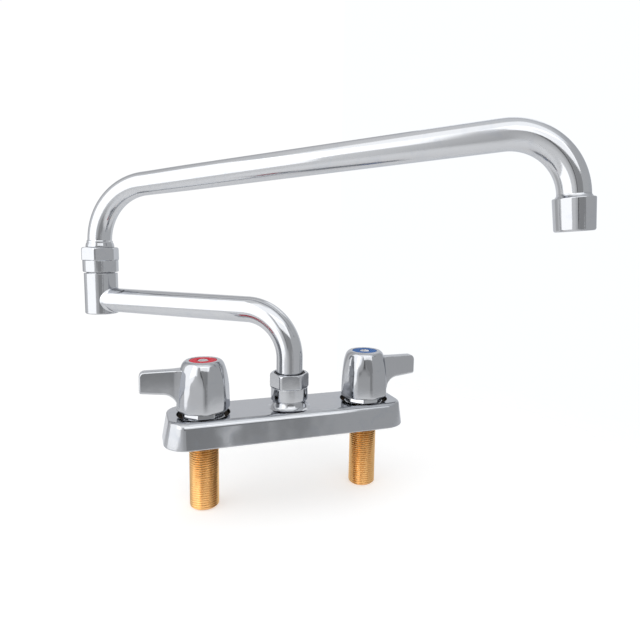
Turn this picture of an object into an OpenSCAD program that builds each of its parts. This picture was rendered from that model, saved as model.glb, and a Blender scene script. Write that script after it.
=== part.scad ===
// Deck-mount mixing faucet with two lever valves and a double-jointed swing spout.
// The origin is on the deck, under the middle of the deck body. X runs along the body, -Y is the
// user's side and +Z is up. The hot valve is at -X and the cold valve at +X.

/* [Deck body] */
// Length of the deck body where it meets the deck
deck_len = 148; // [142:0.2:172]
// Width of the deck body where it meets the deck
deck_width = 41; // [41:0.5:56]
// Height of the deck body
deck_height = 15.2; // [14.6:0.1:17]
// How far each end of the deck body leans in at the top
deck_end_draft = 3; // [1:0.1:4.6]
// How far each side of the deck body leans in at the top
deck_side_draft = 2; // [1:0.1:3.6]
// Corner radius of the deck body at the deck, seen from above
deck_corner_r = 14.4; // [8:0.2:16]
// How much smaller that radius is at the top
deck_corner_draft = 4; // [0:0.2:5]
// Rounding of the upper edge of the deck body
deck_edge_r = 1.2; // [0.6:0.1:1.8]
// Wall thickness of the deck body
deck_wall = 2.4; // [1.8:0.1:2.8]
// Distance between the hot and cold valves
valve_spacing = 101.6; // [96:0.1:108]
// Diameter of the two clearance holes around the bonnets
bonnet_hole_d = 30.4; // [28.4:0.1:31]
// Height of the flared foot under the spout nut
foot_h = 4.8; // [3.6:0.1:6]
// Diameter of the flared foot at its neck
foot_neck_d = 19.8; // [19.2:0.1:20.4]

/* [Waterway] */
// Outer diameter of the valve wells
well_d = 24.8; // [22.6:0.1:26.4]
// Bore of the valve wells
well_bore_d = 18; // [17.4:0.1:18.4]
// Height of the rim of the valve wells above the deck
well_top_z = 11.2; // [10.9:0.1:11.6]
// Thickness of the floor of the valve wells
well_floor = 2.4; // [1.8:0.1:2.6]
// Outer diameter of the cross pipe between the wells
manifold_d = 10; // [9:0.1:10.2]
// Bore of the cross pipe
manifold_bore_d = 6.4; // [5:0.1:7]
// Diameter of the riser thread that the spout nut screws onto
riser_d = 18.8; // [18.5:0.1:19]

/* [Inlet shanks] */
// Outer diameter of the threaded inlet shanks
shank_d = 17.1; // [16.6:0.1:17.6]
// Length of the inlet shanks below the deck
shank_len = 41.6; // [38:0.1:70]
// Bore of the inlet shanks
shank_bore_d = 10.4; // [8:0.1:11.6]
// Pitch of the shank thread
thread_pitch = 1.41; // [1.2:0.01:1.82]
// Depth of the shank thread
thread_depth = 0.7; // [0.4:0.05:0.9]
// Chamfer at the lower end of the shanks
shank_chamfer = 1.2; // [0.8:0.1:1.8]

/* [Valves] */
// Width across the flats of the eight-sided bonnets
bonnet_flats = 23.4; // [22.2:0.1:24.6]
// Height of the lower tier of the bonnet
bonnet_low_h = 2.3; // [1.6:0.1:3]
// Height of the upper tier of the bonnet
bonnet_top_h = 3; // [2.4:0.1:3.2]
// Diameter of the cartridge neck inside the handle
neck_d = 14; // [12.4:0.1:15]
// Height of the top of the cartridge neck above the deck
neck_top_z = 27; // [25:0.1:28]
// Diameter of the valve stem
stem_d = 8; // [7.4:0.1:8.6]
// Diameter of the ceramic discs
disc_d = 14.2; // [13.6:0.1:14.3]
// Thickness of the fixed ceramic disc
fixed_disc_t = 3.2; // [2.8:0.1:3.4]
// Thickness of the turning ceramic disc
moving_disc_t = 2.8; // [2.4:0.1:3]

/* [Handles] */
// Width across the flats of the hub at its rim
hub_flats = 29; // [28:0.1:31]
// Height of the hub
hub_h = 28.8; // [27.6:0.1:31]
// Gap between the bonnet and the rim of the hub
hub_gap = 0.5; // [0.3:0.1:1]
// Width of the flat top of the hub
hub_top_d = 19.6; // [18.4:0.1:21]
// Wall thickness of the hub at its rim
hub_wall = 2; // [1.6:0.1:2.4]
// Reach of the lever from the axis of the hub
lever_reach = 35; // [30:0.5:44]
// Height of the lever at its tip
lever_h = 12.4; // [10:0.1:14]
// Thickness of the lever
lever_t = 6; // [4.4:0.1:7.5]
// How far the lever's top edge lies under the top of the hub
lever_drop = 4.4; // [3.4:0.1:6]
// Diameter of the coloured index ring
index_d = 15.8; // [13:0.1:16.8]
// Diameter of the head of the handle screw
screw_head_d = 6.6; // [6:0.1:7.4]

/* [Spout joints] */
// Outer diameter of the spout tube at both joints
tube_d = 15.9; // [15.6:0.05:16.2]
// Wall thickness of the spout tube
tube_wall = 1.2; // [0.9:0.05:1.5]
// Width across the flats of the two swivel nuts
nut_flats = 21; // [20.8:0.1:23]
// Diameter of the round skirt of the swivel nuts
nut_skirt_d = 22.4; // [21.4:0.1:23]
// Height of the skirt of the swivel nuts
nut_skirt_h = 7.8; // [6.5:0.1:10]
// Height of the six-sided part of the swivel nuts
nut_hex_h = 8.6; // [7:0.1:10]
// How far the spout stands in front of the line through the valves
spout_forward = 3; // [0:0.5:4]

/* [Lower arm] */
// Reach of the lower arm between its two joints
arm_reach = 139.7; // [100:0.1:180]
// Height of the axis of the lower arm above the deck
arm_z = 73; // [68:0.5:100]
// Radius of the bend of the lower arm
arm_bend_r = 28.2; // [22:0.1:32]
// Direction of the lower arm, seen from above
arm_heading = 140; // [120:1:170]
// Diameter of the post at the end of the lower arm
post_d = 21.2; // [20.6:0.1:22.4]
// How far the post reaches below the axis of the lower arm
post_below = 9.4; // [9:0.1:14]
// How far the post reaches above the axis of the lower arm
post_above = 17.9; // [17:0.1:24]

/* [Upper spout] */
// Direction of the upper spout, seen from above
spout_heading = -33.4; // [-60:0.2:0]
// Radius of the bend over the post
spout_bend_r = 38.6; // [30:0.1:50]
// Rise of the straight run of the spout, in degrees
spout_rise = 6.8; // [0:0.1:12]
// Length of the straight, tapered run of the spout
spout_run = 223.8; // [150:0.2:260]
// Outer diameter of the spout tube where it leaves the collar over the post
spout_leg_d = 15.2; // [14.8:0.05:15.5]
// Outer diameter of the spout tube near the start of its straight run
spout_near_d = 16; // [15.2:0.05:16.8]
// Outer diameter of the spout tube at the outlet
outlet_tube_d = 18.2; // [17.6:0.05:19.2]
// Radius of the bend at the outlet
outlet_bend_r = 35.4; // [30:0.1:46]
// How far the spout turns down at the outlet, in degrees
outlet_bend_angle = 91.8; // [88:0.1:96]

/* [Aerator] */
// Diameter of the aerator housing at its top
aerator_d = 23; // [21.8:0.1:24]
// Diameter of the aerator housing at its mouth
aerator_mouth_d = 22; // [21:0.1:22.4]
// Height of the aerator housing
aerator_h = 18.4; // [17:0.1:22]
// Height of the flared lip above the aerator housing
lip_h = 2; // [1.6:0.1:3.4]

/* [Hidden] */
$fn = 64;

// Facets of the circles inside hulls
hull_fn = 32;
// Overrun of every cut
cut = 0.5;
// Thickness of the slices that hulls are stretched over
slice = 0.05;
// Radial gap where one piece turns in another
run_gap = 0.08;
// Gap between pieces that are screwed or brazed together
join_gap = 0.04;
// Gap between flat faces that turn on each other
face_gap = 0.06;

// Deck body
deck_roof = 2.6;
rim_edge = 0.8;
foot_sink = 0.2;
foot_fillet_r = foot_h - 1.6 * foot_sink;
hot = -1;
cold = 1;

// Levels of the waterway
well_floor_z = 0.6;
seat_z = well_floor_z + well_floor;
manifold_z = manifold_d / 2 + well_floor_z;
riser_shoulder_z = deck_height - deck_roof;
joint_low_z = deck_height + foot_h;
pad_d = 23;

// The joint that both swivels share, from the lower face of its nut upwards
nut_h = nut_skirt_h + nut_hex_h;
thread_gap = 0.1;
nut_bore_d = riser_d + 2 * thread_gap;
nut_lip_h = 3;
nut_lip_gap = 0.35;
nut_corner_share = 0.97;
nut_edge = 1.6;
// How far each nut is turned on its thread
spout_nut_turn = -11.5;
swivel_nut_turn = 13.4;
retainer_h = 2;
retainer_d = riser_d - 4 * run_gap;
neck_reach = nut_h - nut_lip_h - retainer_h - 4 * face_gap;
tube_start = 4;
// The end of a tube is swaged out a little where the joint holds it
swage = 0.2;
swage_lap = 0.6;
swage_d = tube_d + 2 * swage;
swage_low = neck_reach + face_gap;
nut_lip_d = swage_d + 2 * nut_lip_gap;
bush_low = 9.6;
bush_spigot = 6;
bush_wall = 1.9;
seal_section = 1.9;
seal_pitch = 4;
seal_squeeze_gap = 0.04;
joint_bore_d = tube_d + 2 * run_gap;
tube_bore_d = tube_d - 2 * tube_wall;
bush_bore_d = tube_bore_d - 2 * bush_wall;
socket_spare = 0.6;
dust_ring_t = 0.9;
dust_ring_down = 0.5;
collar_h = 2.8;
collar_d = 17.8;

// Shanks
spigot_d = 13.8;
thread_land_share = 0.22;
thread_count = floor((shank_len - 3 * thread_pitch) / thread_pitch);

// Valves
seal_ring_d = 13.2;
seal_ring_bore = 8.4;
seal_ring_t = 1.6;
fixed_z = seat_z + seal_ring_t;
moving_z = fixed_z + fixed_disc_t + face_gap;
stem_foot_z = moving_z + moving_disc_t;
stem_foot_h = 2;
stem_foot_d = disc_d - 4 * face_gap;
body_low_gap = 0.1;
body_skirt_d = well_bore_d - 2 * join_gap;
body_cavity_d = disc_d + 2 * run_gap;
body_cavity_top = stem_foot_z + stem_foot_h + face_gap;
body_ledge = 0.7;
body_flange_d = well_bore_d + 2 * body_ledge;
body_flange_h = 4.2;
body_window_h = 2.6;
body_window_w = 7;
bonnet_groove_h = 0.6;
bonnet_groove_in = 0.8;
bonnet_h = bonnet_low_h + bonnet_groove_h + bonnet_top_h;
bonnet_step = 0.3;
body_seal_section = 1.2;
body_seal_z = fixed_z + body_seal_section;
port_d = 5;
port_offset_share = 0.25;
stem_reach = 11;
stem_top_z = neck_top_z + stem_reach;
stem_flat_share = 0.78;
stem_seal_section = 1.2;
stem_seal_down = 6;
stem_seal_z = neck_top_z - stem_seal_down;
clip_t = 0.8;
clip_d = 11.4;
clip_seat_d = 6.4;
clip_gap_w = 5.6;
screw_d = 3.9;
screw_len = 16;
screw_hole_d = screw_d + 2 * join_gap;
screw_head_h = 2.4;
screw_dome_share = 0.45;

// Handles
hub_low_z = well_top_z + bonnet_h + hub_gap;
hub_top_z = hub_low_z + hub_h;
// Levels of the hub and its widths there, as shares of its height and of its width at the rim
hub_level_shares = [0, 0.05, 0.34, 0.56, 0.76, 0.9, 0.965, 1];
hub_width_shares = [0.985, 1, 0.985, 0.955, 0.905, 0.83, 0.76];
hub_widths = concat([for (share = hub_width_shares) share * hub_flats], [hub_top_d]);
hub_corner_r = 4;
hub_cavity_spare = 4;
hub_cavity_top_z = neck_top_z + hub_cavity_spare;
socket_gap = 0.05;
index_t = 0.8;
index_hole_gap = 0.15;
screw_head_z = hub_top_z - index_t - screw_head_h / 2;
screw_tip_z = screw_head_z - screw_len;
lever_top_z = hub_top_z - lever_drop;
lever_slope = 1.4;
lever_fillet_r = 9;
lever_tip_r = 3.2;
lever_edge_r = 0.8;
arc_steps = 8;

// Lower arm and post
leg_top_z = arm_z - arm_bend_r;
post_low_z = arm_z - post_below;
post_top_z = arm_z + post_above;
post_edge_r = 0.8;
post_floor = 2;
post_gap = 0.8;
joint_high_z = post_top_z + post_gap;

// Upper spout
leg_show = 0.6;
spout_leg_top_z = joint_high_z + nut_h + face_gap + collar_h + leg_show;
spout_bend_angle = 90 - spout_rise;
taper_lead = 3;
near_share = 0.13;
outlet_bore_turn = 2;
outlet_bore_d = outlet_tube_d - 2 * tube_wall;
adapter_spigot = 2.4;
adapter_spigot_gap = 0.25;
adapter_flare = 1.3;
adapter_lip_d = outlet_tube_d + 2 * adapter_flare;
aerator_skirt_wall = 2.2;
adapter_thread_d = aerator_mouth_d - 2 * aerator_skirt_wall;
adapter_thread_h = 6.6;
adapter_bore_d = 11;
aerator_wall = 1.5;
aerator_rim = 1.3;
washer_t = 1.8;
insert_flange_h = 1.6;
screen_t = 0.8;
screen_hole_d = 1.3;
screen_rings = 3;
screen_ring_share = 0.27;
screen_holes_per_ring = 6;

// Points along an arc about [cx, cz], from angle a0 to a1
function arc_points(cx, cz, r, a0, a1, steps = arc_steps) =
    [for (i = [0 : steps]) let (a = a0 + (a1 - a0) * i / steps) [cx + r * cos(a), cz + r * sin(a)]];

// A straight-sided ring between two levels
module ring(d_in, d_out, z0, z1) {
    translate([0, 0, z0])
        difference() {
            cylinder(h = z1 - z0, d = d_out);
            translate([0, 0, -cut])
                cylinder(h = z1 - z0 + 2 * cut, d = d_in);
        }
}

// A solid disc between two levels
module disc(d, z0, z1) {
    translate([0, 0, z0])
        cylinder(h = z1 - z0, d = d);
}

// A round sealing ring whose outside is seal_d
module seal(seal_d, section, z) {
    translate([0, 0, z])
        rotate_extrude()
            translate([(seal_d - section) / 2, 0])
                circle(d = section);
}

// A bend that starts upwards at the origin and leans over towards +X
module bend(bend_r, angle, d) {
    translate([bend_r, 0, 0])
        rotate([90, 0, 0])
            rotate([0, 0, 180 - angle])
                rotate_extrude(angle = angle)
                    translate([bend_r, 0])
                        circle(d = d);
}

// Places its children at the far end of such a bend
module after_bend(bend_r, angle) {
    translate([bend_r * (1 - cos(angle)), 0, bend_r * sin(angle)])
        rotate([0, angle, 0])
            children();
}

module at_valve(side) {
    translate([side * valve_spacing / 2, 0, 0])
        children();
}

module at_spout() {
    translate([0, -spout_forward, 0])
        children();
}

// The lower arm lies along +X of this frame
module at_arm() {
    at_spout()
        rotate([0, 0, arm_heading])
            children();
}

// The upper spout lies along +X of this frame, on the axis of the post
module at_post() {
    at_arm()
        translate([arm_reach, 0, 0])
            rotate([0, 0, spout_heading - arm_heading])
                children();
}

// The frame a brazed seam away from the open end of the spout tube, with +Z along the water
module at_outlet() {
    at_post()
        translate([0, 0, spout_leg_top_z])
            after_bend(spout_bend_r, spout_bend_angle)
                translate([0, 0, spout_run])
                    after_bend(outlet_bend_r, outlet_bend_angle)
                        translate([0, 0, join_gap])
                            children();
}

// The drafted form of the deck body, shrunk by inset on every side
module deck_form(inset, height, rim, edge_r) {
    hull()
        for (level = [[0, rim], [rim, 0], [height - edge_r, 0], [height, edge_r]])
            for (sx = [-1, 1])
                for (sy = [-1, 1])
                    let (rise = level[0] / deck_height,
                         r = deck_corner_r - rise * deck_corner_draft - inset / 2,
                         x = deck_len / 2 - inset - level[1] - rise * deck_end_draft - r,
                         y = deck_width / 2 - inset - level[1] - rise * deck_side_draft - r)
                        translate([sx * x, sy * y, level[0] - (level[0] > 0 ? slice : 0)])
                            cylinder(h = slice, r = r, $fn = hull_fn);
}

module deck_body() {
    color("gainsboro")
        difference() {
            union() {
                deck_form(0, deck_height, rim_edge, deck_edge_r);
                at_spout()
                    translate([0, 0, deck_height - foot_sink])
                        rotate_extrude()
                            difference() {
                                square([foot_neck_d / 2 + foot_fillet_r, foot_h + foot_sink]);
                                translate([foot_neck_d / 2 + foot_fillet_r, foot_fillet_r])
                                    circle(r = foot_fillet_r);
                                translate([foot_neck_d / 2, foot_fillet_r])
                                    square([foot_fillet_r + cut, foot_h + cut]);
                            }
            }
            translate([0, 0, -slice])
                deck_form(deck_wall, deck_height - deck_roof + slice, 0, slice);
            for (side = [hot, cold])
                at_valve(side)
                    disc(bonnet_hole_d, deck_height - deck_roof - cut, deck_height + cut);
            at_spout()
                disc(riser_d + 2 * join_gap, deck_height - deck_roof - cut, joint_low_z + cut);
        }
}

module waterway() {
    color("goldenrod")
        difference() {
            union() {
                for (side = [hot, cold])
                    at_valve(side)
                        disc(well_d, well_floor_z, well_top_z);
                translate([-valve_spacing / 2, 0, manifold_z])
                    rotate([0, 90, 0])
                        cylinder(h = valve_spacing, d = manifold_d);
                at_spout() {
                    disc(pad_d, 0, riser_shoulder_z);
                    disc(riser_d, riser_shoulder_z - cut, joint_low_z + neck_reach);
                }
            }
            for (side = [hot, cold])
                at_valve(side) {
                    disc(well_bore_d, seat_z, well_top_z + cut);
                    disc(spigot_d + 2 * join_gap, well_floor_z - cut, seat_z + cut);
                }
            translate([-valve_spacing / 2, 0, manifold_z])
                rotate([0, 90, 0])
                    cylinder(h = valve_spacing, d = manifold_bore_d);
            at_spout() {
                disc(joint_bore_d, joint_low_z - bush_low - socket_spare, joint_low_z + neck_reach + cut);
                disc(manifold_bore_d, manifold_z, joint_low_z);
            }
        }
}

// A brass shank with ring threads, a water bore and a spigot that enters the well
module inlet_shank(side) {
    at_valve(side)
        color("peru")
            difference() {
                union() {
                    rotate_extrude()
                        polygon(concat(
                            [[0, well_floor_z], [0, -shank_len],
                             [shank_d / 2 - shank_chamfer, -shank_len],
                             [shank_d / 2, -shank_len + shank_chamfer]],
                            [for (i = [0 : thread_count - 1])
                                let (z = -shank_len + shank_chamfer + thread_pitch * (i + 0.5))
                                for (p = [[0, 0], [thread_depth, (1 - thread_land_share) / 2],
                                          [0, 1 - thread_land_share]])
                                    [shank_d / 2 - p[0], z + p[1] * thread_pitch]],
                            [[shank_d / 2, well_floor_z]]
                        ));
                    disc(spigot_d, 0, seat_z);
                }
                disc(shank_bore_d, -shank_len - cut, seat_z + cut);
            }
}

module valve_body(side) {
    at_valve(side)
        color("darkgoldenrod")
            difference() {
                union() {
                    disc(body_skirt_d, seat_z + body_low_gap, well_top_z);
                    disc(body_flange_d, well_top_z, well_top_z + body_flange_h);
                    disc(neck_d, well_top_z, neck_top_z);
                }
                disc(body_cavity_d, seat_z, body_cavity_top);
                disc(stem_d + 2 * run_gap, seat_z, neck_top_z + cut);
                for (turn = [0, 90])
                    rotate([0, 0, turn])
                        translate([-well_bore_d / 2, -body_window_w / 2, moving_z])
                            cube([well_bore_d, body_window_w, body_window_h]);
                ring(body_skirt_d - 2 * body_seal_section - 2 * join_gap, well_d,
                     body_seal_z - body_seal_section / 2 - join_gap,
                     body_seal_z + body_seal_section / 2 + join_gap);
            }
}

module body_seal(side) {
    at_valve(side)
        color("dimgray")
            seal(well_bore_d - 2 * seal_squeeze_gap, body_seal_section, body_seal_z);
}

module bonnet(side) {
    at_valve(side)
        color("gainsboro")
            difference() {
                union() {
                    translate([0, 0, well_top_z])
                        rotate([0, 0, 180 / 8])
                            cylinder(h = bonnet_low_h, d = bonnet_flats / cos(180 / 8), $fn = 8);
                    disc(bonnet_flats - 2 * bonnet_groove_in, well_top_z, well_top_z + bonnet_h);
                    translate([0, 0, well_top_z + bonnet_low_h + bonnet_groove_h])
                        rotate([0, 0, 180 / 8])
                            cylinder(h = bonnet_top_h, d = (bonnet_flats - 2 * bonnet_step) / cos(180 / 8),
                                     $fn = 8);
                }
                disc(body_flange_d + 2 * join_gap, well_top_z - cut, well_top_z + body_flange_h + join_gap);
                disc(neck_d + 2 * join_gap, well_top_z, well_top_z + bonnet_h + cut);
            }
}

module seat_seal(side) {
    at_valve(side)
        color("dimgray")
            ring(seal_ring_bore, seal_ring_d, seat_z, seat_z + seal_ring_t);
}

// Two opposite water ports
module ports(z0, z1) {
    for (s = [-1, 1])
        translate([s * disc_d * port_offset_share, 0, 0])
            disc(port_d, z0, z1);
}

module fixed_disc(side) {
    at_valve(side)
        color("white")
            difference() {
                disc(disc_d, fixed_z, fixed_z + fixed_disc_t);
                ports(fixed_z - cut, fixed_z + fixed_disc_t + cut);
            }
}

// The turning disc closes the ports at rest, a quarter turn away from them
module moving_disc(side) {
    at_valve(side)
        color("white")
            difference() {
                disc(disc_d, moving_z, moving_z + moving_disc_t);
                rotate([0, 0, 90])
                    ports(moving_z - cut, moving_z + moving_disc_t + cut);
            }
}

module stem(side) {
    at_valve(side)
        color("darkgoldenrod")
            difference() {
                union() {
                    disc(stem_foot_d, stem_foot_z, stem_foot_z + stem_foot_h);
                    disc(stem_d, stem_foot_z, neck_top_z + clip_t + 2 * face_gap);
                    intersection() {
                        disc(stem_d, neck_top_z, stem_top_z);
                        translate([-stem_d, -stem_d * stem_flat_share / 2, neck_top_z])
                            cube([2 * stem_d, stem_d * stem_flat_share, stem_top_z - neck_top_z]);
                    }
                }
                disc(screw_hole_d, screw_tip_z - cut, stem_top_z + cut);
                ring(clip_seat_d, 2 * stem_d, neck_top_z + face_gap, neck_top_z + face_gap + clip_t);
                ring(stem_d + 2 * run_gap - 2 * stem_seal_section, 2 * stem_d,
                     stem_seal_z - stem_seal_section / 2, stem_seal_z + stem_seal_section / 2);
            }
}

module stem_seal(side) {
    at_valve(side)
        color("dimgray")
            seal(stem_d + 2 * run_gap - 2 * seal_squeeze_gap, stem_seal_section - 2 * seal_squeeze_gap,
                 stem_seal_z);
}

// The open clip that keeps the stem in its neck
module stem_clip(side) {
    at_valve(side)
        color("silver")
            difference() {
                ring(clip_seat_d + 2 * join_gap, clip_d, neck_top_z + 2 * face_gap,
                     neck_top_z + clip_t);
                translate([0, -clip_gap_w / 2, neck_top_z])
                    cube([clip_d, clip_gap_w, 2 * clip_t]);
            }
}

module handle_screw(side) {
    at_valve(side)
        color("silver") {
            disc(screw_d, screw_tip_z, screw_head_z + cut);
            translate([0, 0, screw_head_z])
                cylinder(h = screw_head_h * (1 - screw_dome_share), d = screw_head_d);
            translate([0, 0, screw_head_z + screw_head_h * (1 - screw_dome_share)])
                cylinder(h = screw_head_h * screw_dome_share, d1 = screw_head_d,
                         d2 = screw_head_d * screw_dome_share);
        }
}

module index_ring(side, tint) {
    at_valve(side)
        color(tint)
            ring(screw_head_d + 2 * index_hole_gap, index_d, hub_top_z - index_t, hub_top_z);
}

// Side outline of the lever, from the axis of the hub to the tip
module lever_outline() {
    tip_low_z = lever_top_z - lever_h;
    root_x = hub_flats / 2;
    fillet_x = root_x + lever_fillet_r;
    polygon(concat(
        [[0, lever_top_z]],
        arc_points(lever_reach - lever_tip_r, lever_top_z - lever_tip_r, lever_tip_r, 90, 0),
        arc_points(lever_reach - lever_edge_r, tip_low_z + lever_edge_r, lever_edge_r, 0, -90, 3),
        arc_points(fillet_x, tip_low_z - lever_slope - lever_fillet_r, lever_fillet_r, 90, 180),
        [[0, tip_low_z - lever_slope - lever_fillet_r]]
    ));
}

// The eight-sided hub, with soft corners and a rounded shoulder
module hub_form() {
    hull()
        for (i = [0 : len(hub_widths) - 1])
            for (k = [0 : 7])
                rotate([0, 0, (k + 0.5) * 360 / 8])
                    translate([(hub_widths[i] / 2 - hub_corner_r) / cos(180 / 8), 0,
                               hub_low_z + hub_h * hub_level_shares[i] - (i > 0 ? slice : 0)])
                        cylinder(h = slice, r = hub_corner_r, $fn = hull_fn);
}

module handle(side) {
    at_valve(side)
        rotate([0, 0, side == hot ? 180 : 0])
            color("gainsboro")
                difference() {
                    union() {
                        hub_form();
                        rotate([90, 0, 0])
                            linear_extrude(height = lever_t, center = true)
                                lever_outline();
                    }
                    disc(hub_flats - 2 * hub_wall, hub_low_z - cut, hub_cavity_top_z);
                    intersection() {
                        disc(stem_d + 2 * socket_gap, hub_low_z, stem_top_z + socket_gap);
                        translate([-stem_d, -stem_d * stem_flat_share / 2 - socket_gap, hub_low_z])
                            cube([2 * stem_d, stem_d * stem_flat_share + 2 * socket_gap,
                                  stem_top_z + socket_gap - hub_low_z]);
                    }
                    disc(screw_hole_d, hub_low_z, hub_top_z + cut);
                    disc(screw_head_d + 2 * index_hole_gap, screw_head_z, hub_top_z + cut);
                    disc(index_d + 2 * join_gap, hub_top_z - index_t, hub_top_z + cut);
                }
}

// The nut of a swivel: a round skirt under a six-sided top with a rounded rim
module joint_nut(turn) {
    color("gainsboro")
        difference() {
            union() {
                disc(nut_skirt_d, 0, nut_skirt_h);
                intersection() {
                    translate([0, 0, nut_skirt_h - cut])
                        rotate([0, 0, turn])
                            cylinder(h = nut_hex_h + cut, d = nut_flats / cos(30), $fn = 6);
                    rotate_extrude()
                        polygon(concat(
                            [[0, 0], [nut_flats / cos(30) / 2 * nut_corner_share, 0]],
                            arc_points(nut_flats / cos(30) / 2 * nut_corner_share - nut_edge,
                                       nut_h - nut_edge, nut_edge, 0, 90),
                            [[0, nut_h]]
                        ));
                }
            }
            disc(nut_bore_d, -cut, nut_h - nut_lip_h);
            disc(nut_lip_d + 2 * dust_ring_t, nut_h - dust_ring_down - dust_ring_t, nut_h + cut);
            disc(nut_lip_d, 0, nut_h + cut);
        }
}

// The brass end that is brazed into a tube and carries the two sealing rings
module end_bush() {
    color("goldenrod")
        difference() {
            union() {
                disc(tube_d, -bush_low, tube_start);
                disc(tube_bore_d - 2 * join_gap, -bush_low, tube_start + bush_spigot);
            }
            disc(bush_bore_d, -bush_low - cut, tube_start + bush_spigot + cut);
            for (i = [0, 1])
                ring(joint_bore_d - 2 * seal_section, 2 * tube_d,
                     -bush_low + seal_section + i * seal_pitch - seal_section / 2,
                     -bush_low + seal_section + i * seal_pitch + seal_section / 2);
        }
}

module end_seals() {
    color("dimgray")
        for (i = [0, 1])
            seal(joint_bore_d - 2 * seal_squeeze_gap, seal_section - 2 * seal_squeeze_gap,
                 -bush_low + seal_section + i * seal_pitch);
}

module retainer() {
    color("khaki")
        difference() {
            ring(swage_d + 2 * join_gap, retainer_d, neck_reach + 2 * face_gap,
                 neck_reach + 2 * face_gap + retainer_h);
            translate([0, -join_gap, neck_reach])
                cube([riser_d, 2 * join_gap, 2 * retainer_h]);
        }
}

module at_low_joint() {
    at_arm()
        translate([0, 0, joint_low_z])
            children();
}

module at_high_joint() {
    at_post()
        translate([0, 0, joint_high_z])
            children();
}

module spout_nut() {
    at_low_joint()
        joint_nut(spout_nut_turn - arm_heading);
}

module spout_dust_ring() {
    at_low_joint()
        color("black")
            ring(swage_d + 2 * run_gap, nut_lip_d + 2 * dust_ring_t - 2 * join_gap,
                 nut_h - dust_ring_down - dust_ring_t, nut_h - dust_ring_down);
}

// The path of the lower arm at a given diameter, from its foot to the axis of the post
module arm_path(d, start_z, reach) {
    disc(d, start_z, leg_top_z);
    translate([0, 0, leg_top_z]) {
        bend(arm_bend_r, 90, d);
        after_bend(arm_bend_r, 90)
            cylinder(h = reach - arm_bend_r, d = d);
    }
}

module lower_arm_tube() {
    at_arm()
        color("gainsboro")
            difference() {
                union() {
                    disc(swage_d, joint_low_z + swage_low, joint_low_z + nut_h - dust_ring_down);
                    arm_path(tube_d, joint_low_z + tube_start, arm_reach);
                }
                arm_path(tube_bore_d, joint_low_z + tube_start - cut, arm_reach + cut);
                translate([arm_reach, 0, 0])
                    disc(post_d + 2 * join_gap, post_low_z - cut, post_top_z + cut);
            }
}

module swivel_post() {
    at_arm()
        translate([arm_reach, 0, 0])
            color("gainsboro")
                difference() {
                    union() {
                        rotate_extrude()
                            polygon(concat(
                                [[0, post_low_z]],
                                arc_points(post_d / 2 - post_edge_r, post_low_z + post_edge_r, post_edge_r,
                                           -90, 0, 4),
                                [[post_d / 2, post_top_z], [0, post_top_z]]
                            ));
                        disc(riser_d, post_top_z - cut, joint_high_z + neck_reach);
                    }
                    disc(joint_bore_d, post_low_z + post_floor, joint_high_z + neck_reach + cut);
                    translate([0, 0, arm_z])
                        rotate([0, -90, 0])
                            cylinder(h = post_d, d = tube_bore_d);
                }
}

module swivel_nut() {
    at_high_joint()
        joint_nut(swivel_nut_turn - spout_heading);
}

module swivel_collar() {
    at_high_joint()
        color("gainsboro")
            ring(swage_d + 2 * join_gap, collar_d, nut_h + face_gap, nut_h + face_gap + collar_h);
}

// The same bend, drawn back from its far end, where the origin is
module bend_back(bend_r, angle, d) {
    translate([bend_r, 0, 0])
        rotate([90, 0, 0])
            rotate([0, 0, 180])
                rotate_extrude(angle = angle)
                    translate([bend_r, 0])
                        circle(d = d);
}

// The path of the upper spout, thinner than its outside by thin: a bend, a run that tapers quickly at
// first and slowly after that, and the outlet bend
module spout_path(thin, more_turn) {
    near_z = spout_run * near_share;
    translate([0, 0, spout_leg_top_z])
        after_bend(spout_bend_r, spout_bend_angle) {
            bend_back(spout_bend_r, spout_bend_angle, spout_leg_d - thin);
            cylinder(h = taper_lead, d = spout_leg_d - thin);
            translate([0, 0, taper_lead])
                cylinder(h = near_z - taper_lead, d1 = spout_leg_d - thin, d2 = spout_near_d - thin);
            translate([0, 0, near_z])
                cylinder(h = spout_run - near_z - taper_lead, d1 = spout_near_d - thin,
                         d2 = outlet_tube_d - thin);
            translate([0, 0, spout_run - taper_lead])
                cylinder(h = taper_lead, d = outlet_tube_d - thin);
            translate([0, 0, spout_run])
                rotate([180, 0, 0])
                    bend_back(outlet_bend_r, outlet_bend_angle + more_turn, outlet_tube_d - thin);
        }
}

module upper_spout_tube() {
    at_post()
        color("gainsboro")
            difference() {
                union() {
                    disc(tube_d, joint_high_z + tube_start, joint_high_z + swage_low + cut);
                    disc(swage_d, joint_high_z + swage_low, spout_leg_top_z + swage_lap);
                    spout_path(0, 0);
                }
                disc(tube_bore_d, joint_high_z + tube_start - cut, spout_leg_top_z + swage_lap);
                spout_path(2 * tube_wall, outlet_bore_turn);
            }
}

// The flared lip and threaded nipple at the end of the spout
module outlet_adapter() {
    at_outlet()
        color("gainsboro")
            difference() {
                union() {
                    disc(outlet_bore_d - 2 * adapter_spigot_gap, -adapter_spigot, cut);
                    cylinder(h = lip_h, d1 = outlet_tube_d, d2 = adapter_lip_d);
                    disc(adapter_thread_d, 0, lip_h + adapter_thread_h);
                }
                disc(adapter_bore_d, -adapter_spigot - cut, lip_h + adapter_thread_h + cut);
            }
}

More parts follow.
